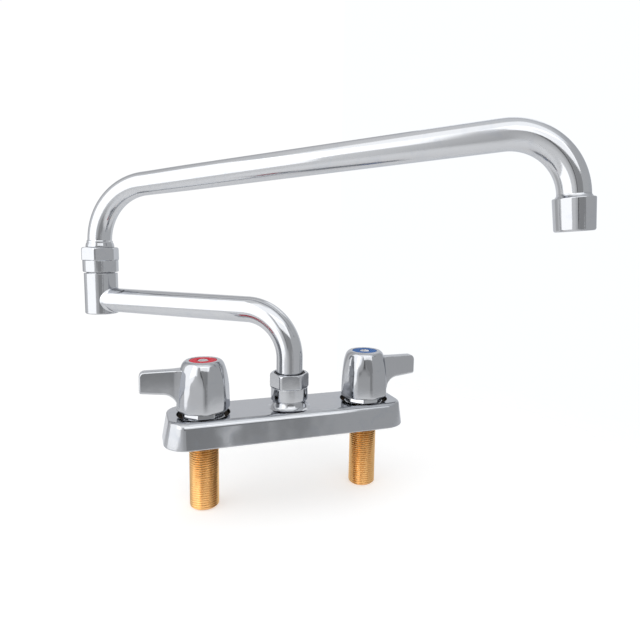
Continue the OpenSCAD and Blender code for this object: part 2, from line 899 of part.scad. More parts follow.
module aerator_housing() {
    at_outlet()
        translate([0, 0, lip_h])
            color("gainsboro")
                difference() {
                    rotate_extrude()
                        polygon(concat(
                            [[0, 0]],
                            arc_points(aerator_d / 2 - aerator_rim / 2, aerator_rim / 2, aerator_rim / 2,
                                       -90, 0, 4),
                            arc_points(aerator_mouth_d / 2 - aerator_rim, aerator_h - aerator_rim,
                                       aerator_rim, 0, 90, 4),
                            [[0, aerator_h]]
                        ));
                    disc(adapter_thread_d + 2 * join_gap, -cut, aerator_h - aerator_rim);
                    disc(adapter_thread_d - 2 * aerator_wall, 0, aerator_h + cut);
                }
}

module aerator_washer() {
    at_outlet()
        translate([0, 0, lip_h])
            color("black")
                ring(adapter_bore_d, adapter_thread_d - 2 * join_gap, adapter_thread_h,
                     adapter_thread_h + washer_t);
}

module aerator_insert() {
    insert_z = adapter_thread_h + washer_t;
    insert_end_z = aerator_h - aerator_rim;
    at_outlet()
        translate([0, 0, lip_h])
            color("whitesmoke")
                difference() {
                    union() {
                        disc(adapter_thread_d - 2 * join_gap, insert_z, insert_z + insert_flange_h);
                        disc(adapter_thread_d - 2 * aerator_wall - 2 * join_gap, insert_z,
                             insert_end_z - screen_t);
                        disc(adapter_thread_d - 2 * join_gap, insert_end_z - screen_t - insert_flange_h,
                             insert_end_z - screen_t);
                    }
                    disc(adapter_bore_d, insert_z - cut, aerator_h);
                }
}

module aerator_screen() {
    screen_z = aerator_h - aerator_rim - screen_t;
    screen_d = adapter_thread_d - 2 * join_gap;
    at_outlet()
        translate([0, 0, lip_h])
            color("silver")
                difference() {
                    disc(screen_d, screen_z, screen_z + screen_t);
                    disc(screen_hole_d, screen_z - cut, screen_z + screen_t + cut);
                    for (i = [1 : screen_rings])
                        for (k = [0 : i * screen_holes_per_ring - 1])
                            rotate([0, 0, 360 * k / (i * screen_holes_per_ring)])
                                translate([adapter_bore_d * screen_ring_share / 2 * i, 0, 0])
                                    disc(screen_hole_d, screen_z - cut, screen_z + screen_t + cut);
                }
}

deck_body();
waterway();
spout_nut();
spout_dust_ring();
inlet_shank(hot);  // hot_inlet_shank
inlet_shank(cold);  // cold_inlet_shank
valve_body(hot);  // hot_valve_body
valve_body(cold);  // cold_valve_body
bonnet(hot);  // hot_bonnet
bonnet(cold);  // cold_bonnet
fixed_disc(hot);  // hot_fixed_disc
fixed_disc(cold);  // cold_fixed_disc
seat_seal(hot);  // hot_seat_seal
seat_seal(cold);  // cold_seat_seal
body_seal(hot);  // hot_body_seal
body_seal(cold);  // cold_body_seal
lower_arm_tube();
at_low_joint() end_bush();  // lower_end_bush
at_low_joint() end_seals();  // lower_end_seals
at_low_joint() retainer();  // lower_retainer
swivel_post();
swivel_nut();
upper_spout_tube();
at_high_joint() end_bush();  // upper_end_bush
at_high_joint() end_seals();  // upper_end_seals
at_high_joint() retainer();  // upper_retainer
swivel_collar();
outlet_adapter();
aerator_housing();
aerator_washer();
aerator_insert();
aerator_screen();
handle(hot);  // hot_handle
index_ring(hot, "red");  // hot_index_ring
handle_screw(hot);  // hot_handle_screw
stem(hot);  // hot_stem
moving_disc(hot);  // hot_moving_disc
stem_seal(hot);  // hot_stem_seal
stem_clip(hot);  // hot_stem_clip
handle(cold);  // cold_handle
index_ring(cold, "royalblue");  // cold_index_ring
handle_screw(cold);  // cold_handle_screw
stem(cold);  // cold_stem
moving_disc(cold);  // cold_moving_disc
stem_seal(cold);  // cold_stem_seal
stem_clip(cold);  // cold_stem_clip
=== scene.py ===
"""Looks of a deck-mount mixing faucet with two lever valves and a double-jointed swing spout.

Every piece is drawn in millimetres in a frame of its own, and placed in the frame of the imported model.
"""
import logging
import math
from dataclasses import dataclass, field
from enum import Enum
from typing import Any, Optional, Sequence, Union

import bmesh
import bpy
import numpy as np
from mathutils import Matrix, Vector


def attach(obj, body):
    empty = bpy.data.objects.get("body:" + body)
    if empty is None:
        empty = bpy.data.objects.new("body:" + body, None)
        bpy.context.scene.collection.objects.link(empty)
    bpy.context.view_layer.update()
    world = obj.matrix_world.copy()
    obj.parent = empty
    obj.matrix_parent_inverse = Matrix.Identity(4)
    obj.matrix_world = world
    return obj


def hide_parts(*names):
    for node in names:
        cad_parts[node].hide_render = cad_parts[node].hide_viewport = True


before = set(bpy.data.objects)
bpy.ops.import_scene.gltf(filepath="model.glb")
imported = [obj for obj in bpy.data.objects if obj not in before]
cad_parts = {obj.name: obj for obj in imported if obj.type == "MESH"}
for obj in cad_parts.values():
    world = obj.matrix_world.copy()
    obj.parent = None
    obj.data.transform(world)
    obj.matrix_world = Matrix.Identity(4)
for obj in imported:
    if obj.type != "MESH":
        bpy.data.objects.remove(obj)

LOG = logging.getLogger("faucet")
MM = 0.001

# How meshes are cleaned and shaded: metres, radians and shares
WELD_M = 1e-7
THIN_M = 1e-8
NEARLY_STRAIGHT = 1.55
LONGEST_SHARE = 0.49
ROUND_SWELL = 1.015
EVEN_WEIGHT = 60

# Sizes that several sub-assemblies share, in millimetres
SLIDE = 0.04
SPACING = 101.6
RISER_FORWARD = 3.0

Colour = tuple[float, float, float]
Place = tuple[float, float, float]
Span = tuple[float, float]
Profile = list[Span]


# Shader expressions

Value = Union["Sock", float, int, Colour]


class Sock:
    """A node's output in an expression; operators on it add Math nodes."""

    def __init__(self, tree: "Tree", socket: bpy.types.NodeSocket) -> None:
        """Wraps one output socket of a tree."""
        self.tree = tree
        self.socket = socket

    def __add__(self, other: Value) -> "Sock":
        """Adds."""
        return self.tree.math("ADD", self, other)

    __radd__ = __add__

    def __sub__(self, other: Value) -> "Sock":
        """Subtracts."""
        return self.tree.math("SUBTRACT", self, other)

    def __rsub__(self, other: Value) -> "Sock":
        """Subtracts from a number."""
        return self.tree.math("SUBTRACT", other, self)

    def __mul__(self, other: Value) -> "Sock":
        """Multiplies."""
        return self.tree.math("MULTIPLY", self, other)

    __rmul__ = __mul__


class Tree:
    """A node tree under construction."""

    def __init__(self, nodes: bpy.types.NodeTree) -> None:
        """Empties the tree and keeps it."""
        self.tree = nodes
        self.tree.nodes.clear()

    def add(self, kind: str, settings: Optional[dict[str, Any]] = None,
            sockets: Optional[dict[Any, Value]] = None) -> bpy.types.Node:
        """Adds a node.

        Args:
            kind: the node's type.
            settings: its properties, set first.
            sockets: a value or a link for each input, by name or number.

        Returns:
            The node.
        """
        made = self.tree.nodes.new(kind)
        for key, setting in (settings or {}).items():
            setattr(made, key, setting)
        for key, value in (sockets or {}).items():
            entry = made.inputs[key]
            if isinstance(value, Sock):
                self.tree.links.new(value.socket, entry)
            elif isinstance(value, tuple) and len(entry.default_value) == len(value) + 1:
                entry.default_value = (*value, 1.0)
            else:
                entry.default_value = value
        return made

    def out(self, made: bpy.types.Node, name: Union[str, int] = 0) -> Sock:
        """Returns a node's output as an expression."""
        return Sock(self, made.outputs[name])

    def math(self, operation: str, *values: Value) -> Sock:
        """Returns the result of a Math node on one or two values."""
        return self.out(self.add("ShaderNodeMath", {"operation": operation}, dict(enumerate(values))))

    def step(self, value: Value, low: float, high: float) -> Sock:
        """Makes a smooth step.

        Args:
            value: what is compared.
            low: where the step starts, at 0.
            high: where it ends, at 1.

        Returns:
            The step, from 0 to 1.
        """
        made = self.add("ShaderNodeMapRange", {"interpolation_type": "SMOOTHSTEP"},
                        {"Value": value, "From Min": low, "From Max": high})
        return self.out(made)

    def blend(self, share: Value, first: Value, second: Value) -> Sock:
        """Returns a mix of two colours, with a share of the second."""
        made = self.add("ShaderNodeMix", {"data_type": "RGBA"}, {"Factor": share, 6: first, 7: second})
        return self.out(made, 2)

    def place(self) -> Sock:
        """Returns the object's own coordinates."""
        return self.out(self.add("ShaderNodeTexCoord"), "Object")

    def noise(self, scale: float, detail: float = 3.0, distortion: float = 0.0) -> Sock:
        """Makes a noise in the object's own coordinates.

        Args:
            scale: cycles per metre.
            detail: how many finer layers it has.
            distortion: how far it is warped.

        Returns:
            The noise, from 0 to 1.
        """
        made = self.add("ShaderNodeTexNoise", None, {
            "Vector": self.place(), "Scale": scale, "Detail": detail, "Distortion": distortion})
        return self.out(made, 0)

    def wave(self, settings: dict[str, Any], scale: float, distortion: float, detail: float) -> Sock:
        """Makes a wave pattern, for tool marks.

        Args:
            settings: the kind and the direction of the waves.
            scale: how fine they are.
            distortion: how far they are warped.
            detail: how many finer layers the warp has.

        Returns:
            The pattern, from 0 to 1.
        """
        made = self.add("ShaderNodeTexWave", settings, {
            "Vector": self.place(), "Scale": scale, "Distortion": distortion, "Detail": detail})
        return self.out(made, 1)

    def parts(self, vector: Sock) -> tuple[Sock, Sock, Sock]:
        """Returns the three components of a vector."""
        made = self.add("ShaderNodeSeparateXYZ", None, {0: vector})
        return self.out(made, 0), self.out(made, 1), self.out(made, 2)

    def bump(self, height: Value, strength: float, distance: float) -> Sock:
        """Makes a normal that follows a height.

        Args:
            height: the height, from 0 to 1.
            strength: how much of the bump shows.
            distance: the depth of the bump, in metres.

        Returns:
            The normal.
        """
        made = self.add("ShaderNodeBump", None,
                        {"Height": height, "Strength": strength, "Distance": distance})
        return self.out(made)


# Finishes

@dataclass(frozen=True)
class Finish:
    """A finish; each kind of it fills in the shader."""

    name: str
    slot: str

    def material(self) -> bpy.types.Material:
        """Makes the material of this finish, once.

        Returns:
            The material.
        """
        kept = bpy.data.materials.get(self.name)
        if kept:
            return kept
        made = bpy.data.materials.new(self.name)
        made.use_nodes = True
        tree = Tree(made.node_tree)
        surface = tree.add("ShaderNodeBsdfPrincipled", None, self.sockets(tree))
        tree.add("ShaderNodeOutputMaterial", None, {"Surface": tree.out(surface)})
        return made

    def sockets(self, tree: Tree) -> dict[Any, Value]:
        """Returns the values and links of the surface's sockets."""
        raise NotImplementedError


@dataclass(frozen=True)
class Chrome(Finish):
    """Bright plating: faint waves of the metal below, wipe marks and dried drops."""

    rough: float = 0.08
    wave: float = 0.35
    wave_scale: float = 70.0
    grain_scale: float = 2600.0
    grain: float = 0.006
    wipe_scale: float = 120.0
    wipe_span: Span = (0.5, 0.72)
    drop_scale: float = 210.0
    rim_start: Span = (0.1, 0.13)
    rim_end: Span = (0.14, 0.19)
    film_tint: float = 0.7
    rim_tint: float = 0.2
    film_rough: float = 0.035
    rim_rough: float = 0.03
    bump: float = 0.5
    bump_depth: float = 0.0006
    tone: Colour = (0.475, 0.485, 0.505)
    film_share: Colour = (0.93, 0.945, 0.97)
    edge: Colour = (0.8, 0.81, 0.84)

    def sockets(self, tree: Tree) -> dict[Any, Value]:
        """Fills in the plating.

        Args:
            tree: the material's tree.

        Returns:
            The values and links of the sockets.
        """
        waves = tree.noise(self.wave_scale, 1.5)
        grain = tree.noise(self.grain_scale, 2.0)
        wipes = tree.noise(self.wipe_scale, 5.0, 1.2)
        drops = tree.out(tree.add("ShaderNodeTexVoronoi", None,
                                  {"Vector": tree.place(), "Scale": self.drop_scale}), "Distance")
        rim = tree.step(drops, *self.rim_start) * (1 - tree.step(drops, *self.rim_end))
        film = tree.step(wipes, *self.wipe_span)
        cool = tuple(tone * share for tone, share in zip(self.tone, self.film_share))
        return {
            "Base Color": tree.blend(film * self.film_tint + rim * self.rim_tint, self.tone, cool),
            "Metallic": 1.0,
            "Specular Tint": self.edge,
            "Roughness": film * self.film_rough + rim * self.rim_rough + self.rough,
            "Normal": tree.bump(waves * self.wave + grain * self.grain, self.bump, self.bump_depth),
        }


@dataclass(frozen=True)
class Brass(Finish):
    """Turned brass with tool marks in its bump, darker in patches of tarnish and, on a thread, at its
    roots.
    """

    root_r: float = 0.0
    crest_r: float = 0.0
    stain: float = 0.35
    root_stain: float = 0.35
    rough: float = 0.2
    rough_spread: float = 0.12
    cloud_scale: float = 160.0
    cloud_span: Span = (0.35, 0.75)
    line_scale: float = 900.0
    line_share: float = 0.4
    bump: float = 0.35
    bump_depth: float = 0.00012
    light: Colour = (0.79, 0.48, 0.2)
    dark: Colour = (0.46, 0.24, 0.085)

    def sockets(self, tree: Tree) -> dict[Any, Value]:
        """Fills in the brass.

        Args:
            tree: the material's tree.

        Returns:
            The values and links of the sockets.
        """
        lines = tree.wave({"bands_direction": "Z"}, self.line_scale, 2.0, 2.0)
        cloud = tree.noise(self.cloud_scale, 4.0)
        tarnish = tree.step(cloud, *self.cloud_span) * self.stain
        if self.crest_r > 0:
            x, y, _ = tree.parts(tree.place())
            radius = tree.math("SQRT", x * x + y * y)
            root = 1 - tree.step(radius, self.root_r * MM, self.crest_r * MM)
            tarnish = tree.math("MAXIMUM", tarnish, root * self.root_stain)
        return {
            "Base Color": tree.blend(tarnish, self.light, self.dark),
            "Metallic": 1.0,
            "Roughness": cloud * self.rough_spread + tarnish * self.rough_spread + self.rough,
            "Normal": tree.bump(lines * self.line_share + cloud, self.bump, self.bump_depth),
        }


@dataclass(frozen=True)
class RawCastPaintedShade(Finish):
    """The unplated inside of a casting, pitted and dull; near-black as painted shade in the gaps round the
    bonnets.
    """

    metallic: float = 0.35
    rough: float = 0.55
    rough_spread: float = 0.2
    cloud_scale: float = 220.0
    cloud_span: Span = (0.35, 0.7)
    pit_scale: float = 1900.0
    bump: float = 0.7
    bump_depth: float = 0.0003
    # Near-black tones: painted shade inside the deck, darker than bare brass.
    light: Colour = (0.075, 0.066, 0.055)
    dark: Colour = (0.03, 0.026, 0.022)

    def sockets(self, tree: Tree) -> dict[Any, Value]:
        """Fills in the bare casting.

        Args:
            tree: the material's tree.

        Returns:
            The values and links of the sockets.
        """
        cloud = tree.noise(self.cloud_scale, 5.0)
        pits = tree.noise(self.pit_scale)
        return {
            "Base Color": tree.blend(tree.step(cloud, *self.cloud_span), self.light, self.dark),
            "Metallic": self.metallic,
            "Roughness": pits * self.rough_spread + self.rough,
            "Normal": tree.bump(pits, self.bump, self.bump_depth),
        }


@dataclass(frozen=True)
class Turned(Finish):
    """Turned steel with rings round its axis."""

    tone: Colour = (0.66, 0.66, 0.67)
    second: Colour = (0.5, 0.5, 0.52)
    rough: float = 0.2
    ring_rough: float = 0.08
    cloud_rough: float = 0.1
    ring_scale: float = 1200.0
    cloud_scale: float = 500.0
    bump: float = 0.2
    bump_depth: float = 0.00006

    def sockets(self, tree: Tree) -> dict[Any, Value]:
        """Fills in the turned steel.

        Args:
            tree: the material's tree.

        Returns:
            The values and links of the sockets.
        """
        rings = tree.wave({"wave_type": "RINGS", "rings_direction": "Z"}, self.ring_scale, 0.6, 1.0)
        cloud = tree.noise(self.cloud_scale)
        return {
            "Base Color": tree.blend(cloud, self.tone, self.second),
            "Metallic": 1.0,
            "Roughness": rings * self.ring_rough + cloud * self.cloud_rough + self.rough,
            "Normal": tree.bump(rings, self.bump, self.bump_depth),
        }


@dataclass(frozen=True)
class Moulded(Finish):
    """A moulded or fired material, from dull rubber to glossy enamel."""

    tone: Colour = (0.5, 0.5, 0.5)
    second: Colour = (0.4, 0.4, 0.4)
    rough: float = 0.5
    rough_spread: float = 0.1
    cloud_scale: float = 300.0
    cloud_span: Span = (0.35, 0.7)
    grain: float = 1500.0
    grain_bump: float = 0.4
    grain_depth: float = 0.00008
    gloss: float = 0.5

    def sockets(self, tree: Tree) -> dict[Any, Value]:
        """Fills in the moulded material.

        Args:
            tree: the material's tree.

        Returns:
            The values and links of the sockets.
        """
        cloud = tree.noise(self.cloud_scale, 4.0)
        grain = tree.noise(self.grain)
        return {
            "Base Color": tree.blend(tree.step(cloud, *self.cloud_span), self.tone, self.second),
            "Roughness": cloud * self.rough_spread + self.rough,
            "Specular IOR Level": self.gloss,
            "Normal": tree.bump(grain, self.grain_bump, self.grain_depth),
        }


class Finishes(Enum):
    """The finishes of the faucet."""

    TUBE = Chrome("chrome_tube", "chrome", rough=0.11, wave=0.18, wave_scale=55.0, tone=(0.52, 0.53, 0.55))
    # The deck's chrome is a darker copy of the tube's: painted shade for the deck's darker top.
    CAST = Chrome("chrome_cast", "chrome", rough=0.09, wave=0.8, wave_scale=48.0,
                  tone=(0.415, 0.425, 0.445))
    HANDLE = Chrome("chrome_handle", "chrome", rough=0.09, wave=0.4, wave_scale=90.0,
                    tone=(0.44, 0.45, 0.47))
    MILLED = Chrome("chrome_milled", "chrome", wave=0.16, wave_scale=140.0)
    # Near-black inside finish: painted shade in the valve holes and the deck's hollow.
    CAST_INSIDE_SHADE = RawCastPaintedShade("cast_inside_painted_shade", "chrome")
    BRASS = Brass("brass_machined", "brass")
    BRASS_CAST = Brass("brass_sand_cast", "brass", stain=0.9, light=(0.3, 0.17, 0.07),
                       dark=(0.09, 0.05, 0.02))
    THREAD = Brass("brass_thread", "brass", root_r=7.8, crest_r=8.5, stain=0.14)
    RUBBER = Moulded("rubber_black", "rubber", tone=(0.025, 0.025, 0.027), second=(0.04, 0.04, 0.042),
                     rough=0.55, rough_spread=0.25)
    CERAMIC = Moulded("ceramic_disc", "ceramic", tone=(0.9, 0.88, 0.83), second=(0.84, 0.82, 0.77),
                      rough=0.2, grain=2600.0, grain_depth=0.00002)
    STEEL = Turned("steel_turned", "steel")
    NYLON = Moulded("nylon_white", "nylon", tone=(0.82, 0.8, 0.74), second=(0.76, 0.74, 0.68),
                    rough=0.35, grain=900.0)
    RED = Moulded("enamel_red", "hot_red", tone=(0.7, 0.03, 0.06), second=(0.63, 0.022, 0.045),
                  rough=0.42, grain=700.0, grain_depth=0.00003, gloss=0.08)
    BLUE = Moulded("enamel_blue", "cold_blue", tone=(0.01, 0.12, 0.4), second=(0.007, 0.095, 0.34),
                   rough=0.42, grain=700.0, grain_depth=0.00003, gloss=0.08)


# Meshes

def arc(x: float, y: float, radius: float, start: float, end: float, steps: int = 8) -> Profile:
    """Returns points on an arc, with angles in degrees."""
    turns = np.radians(np.linspace(start, end, steps + 1))
    return [(x + radius * math.cos(a), y + radius * math.sin(a)) for a in turns]


def rounded(corners: Sequence[tuple[float, ...]], steps: int = 5) -> Profile:
    """Rounds the corners of a closed outline.

    Args:
        corners: x, y and a radius for each corner; a missing radius is none.
        steps: the number of edges on each rounded corner.

    Returns:
        The points of the outline.
    """
    made: Profile = []
    count = len(corners)
    for i, corner in enumerate(corners):
        at = np.array(corner[:2], float)
        radius = corner[2] if len(corner) > 2 else 0.0
        before = np.array(corners[i - 1][:2], float) - at
        after = np.array(corners[(i + 1) % count][:2], float) - at
        long_before, long_after = np.linalg.norm(before), np.linalg.norm(after)
        before, after = before / long_before, after / long_after
        half = math.acos(max(-1.0, min(1.0, float(before @ after)))) / 2
        if radius <= 0 or half > NEARLY_STRAIGHT:
            made.append((float(at[0]), float(at[1])))
            continue
        back = min(radius / math.tan(half), LONGEST_SHARE * long_before, LONGEST_SHARE * long_after)
        radius = back * math.tan(half)
        middle = at + (before + after) / np.linalg.norm(before + after) * radius / math.sin(half)
        first, last = at + before * back - middle, at + after * back - middle
        start = math.atan2(first[1], first[0])
        turn = math.atan2(last[1], last[0]) - start
        turn = (turn + math.pi) % (2 * math.pi) - math.pi
        for k in range(steps + 1):
            a = start + turn * k / steps
            made.append((float(middle[0] + radius * math.cos(a)),
                         float(middle[1] + radius * math.sin(a))))
    return made


def polygon_radius(turns: np.ndarray, sides: int, flats: float, corner_r: float, first: float,
                   round_share: float = 0.0) -> np.ndarray:
    """Radius of a regular polygon with round corners in given directions.

    Args:
        turns: directions, in radians.
        sides: the number of sides.
        flats: the width across the flats.
        corner_r: the radius of the corners.
        first: the direction of one corner, in radians.
        round_share: how much of the polygon is blended into a circle.

    Returns:
        The radius in each direction.
    """
    step = 2 * math.pi / sides
    off = np.abs((turns - first + step / 2) % step - step / 2)
    reach = (flats / 2 - corner_r) / math.cos(step / 2)
    flat = (flats / 2) / np.cos(step / 2 - off)
    inside = np.maximum(corner_r ** 2 - (reach * np.sin(off)) ** 2, 0)
    bend = reach * np.cos(off) + np.sqrt(inside)
    limit = math.atan2(corner_r * math.sin(step / 2), reach + corner_r * math.cos(step / 2))
    plain = np.where(off < limit, bend, flat)
    return plain * (1 - round_share) + flats / 2 * ROUND_SWELL * round_share


class Shell:
    """The points and faces of one closed piece, in millimetres."""

    def __init__(self, around: int = 96) -> None:
        """Starts an empty piece.

        Args:
            around: the number of points in each of its rings.
        """
        self.around = around
        self.points: list[Sequence[float]] = []
        self.faces: list[list[int]] = []

    @property
    def turns(self) -> np.ndarray:
        """The directions of a ring's points, in radians."""
        return np.arange(self.around) * 2 * math.pi / self.around

    def skin(self, rings: Sequence[np.ndarray], closed: bool = False, caps: bool = False) -> "Shell":
        """Joins rings of equal length with quads.

        Args:
            rings: the points of each ring.
            closed: joins the last ring to the first.
            caps: closes the first and the last ring.

        Returns:
            The piece itself.
        """
        start = len(self.points)
        count = len(rings[0])
        for ring in rings:
            self.points.extend(ring.tolist())
        total = len(rings)
        for i in range(total if closed else total - 1):
            low, high = start + i * count, start + (i + 1) % total * count
            for k in range(count):
                n = (k + 1) % count
                self.faces.append([low + k, low + n, high + n, high + k])
        if caps:
            last = start + (total - 1) * count
            self.faces.append(list(range(start, start + count)))
            self.faces.append(list(range(last, last + count)))
        return self

    def ring(self, radius: Union[float, np.ndarray], z: Union[float, np.ndarray]) -> np.ndarray:
        """Returns a level ring about Z."""
        turns = self.turns
        return np.c_[radius * np.cos(turns), radius * np.sin(turns), z + 0 * turns]

    def rings(self, profile: Sequence[tuple[Any, float]]) -> list[np.ndarray]:
        """Returns a level ring for each radius and height."""
        return [self.ring(r, z) for r, z in profile]

    def lathe(self, profile: Sequence[Span]) -> "Shell":
        """Turns a closed profile of radius and height about Z."""
        return self.skin(self.rings([(max(r, 0.0), z) for r, z in profile]), closed=True)

    def mesh(self, name: str, crease: float = 34.0) -> bpy.types.Mesh:
        """Makes the finished mesh.

        Args:
            name: the mesh's name.
            crease: the sharpest edge that is still shaded smooth, in degrees.

        Returns:
            The mesh, in metres.
        """
        made = bpy.data.meshes.new(name)
        made.from_pydata([[c * MM for c in p] for p in self.points], [], self.faces)
        work = bmesh.new()
        work.from_mesh(made)
        bmesh.ops.remove_doubles(work, verts=work.verts, dist=WELD_M)
        bmesh.ops.dissolve_degenerate(work, dist=THIN_M, edges=work.edges)
        bmesh.ops.recalc_face_normals(work, faces=work.faces)
        work.to_mesh(made)
        work.free()
        smooth(made, crease)
        return made


def smooth(mesh: bpy.types.Mesh, crease: float) -> None:
    """Shades a mesh smooth but for its sharp edges.

    Args:
        mesh: the mesh.
        crease: the sharpest edge that is still shaded smooth, in degrees.
    """
    mesh.polygons.foreach_set("use_smooth", [True] * len(mesh.polygons))
    mesh.set_sharp_from_angle(angle=math.radians(crease))
    mesh.update()


def combine(mesh: bpy.types.Mesh, other: bpy.types.Mesh, operation: str,
            crease: float = 34.0) -> bpy.types.Mesh:
    """Joins, cuts or intersects two solids.

    Args:
        mesh: the solid that is worked on.
        other: the second solid.
        operation: UNION, DIFFERENCE or INTERSECT.
        crease: the sharpest edge that is still shaded smooth, in degrees.

    Returns:
        The new mesh.
    """
    work = bpy.data.objects.new("work", mesh)
    tool = bpy.data.objects.new("tool", other)
    for item in (work, tool):
        bpy.context.scene.collection.objects.link(item)
    change = work.modifiers.new("change", "BOOLEAN")
    change.operation = operation
    change.solver = "EXACT"
    change.object = tool
    graph = bpy.context.evaluated_depsgraph_get()
    made = bpy.data.meshes.new_from_object(work.evaluated_get(graph), depsgraph=graph)
    for item in (work, tool):
        bpy.data.objects.remove(item)
    smooth(made, crease)
    return made


def add_piece(name: str, mesh: bpy.types.Mesh, finish: Finishes, body: str, place: Matrix,
              node: str) -> None:
    """Puts a finished piece in the scene.

    Args:
        name: the piece's name.
        mesh: its mesh, in its own frame.
        finish: its finish.
        body: the body that it rides on.
        place: where its frame is, in metres.
        node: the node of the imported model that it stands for.
    """
    mesh.transform(place.to_3x3().to_4x4())
    piece = bpy.data.objects.new(name, mesh)
    bpy.context.scene.collection.objects.link(piece)
    mesh.materials.clear()
    mesh.materials.append(finish.value.material())
    even = piece.modifiers.new("even_normals", "WEIGHTED_NORMAL")
    even.keep_sharp = True
    even.weight = EVEN_WEIGHT
    piece.location = place.translation
    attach(piece, body)
    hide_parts(node)
    LOG.info("%s: %d faces on %s", name, len(mesh.polygons), body)


def shift(x: float = 0.0, y: float = 0.0, z: float = 0.0) -> Matrix:
    """Returns a move in millimetres."""
    return Matrix.Translation(Vector((x, y, z)) * MM)


def turn(degrees: float, axis: str = "Z") -> Matrix:
    """Returns a turn about an axis."""
    return Matrix.Rotation(math.radians(degrees), 4, axis)


def on_bend(radius: float, degrees: float, start: float = 0.0) -> tuple[float, float]:
    """Returns x and z on a bend that begins upright at a height and leans towards +X."""
    a = math.radians(degrees)
    return radius * (1 - math.cos(a)), start + radius * math.sin(a)


def after_bend(radius: float, degrees: float) -> Matrix:
    """Returns the frame at the end of such a bend, with +Z along it."""
    x, z = on_bend(radius, degrees)
    return shift(x, 0, z) @ turn(degrees, "Y")


# Sub-assemblies

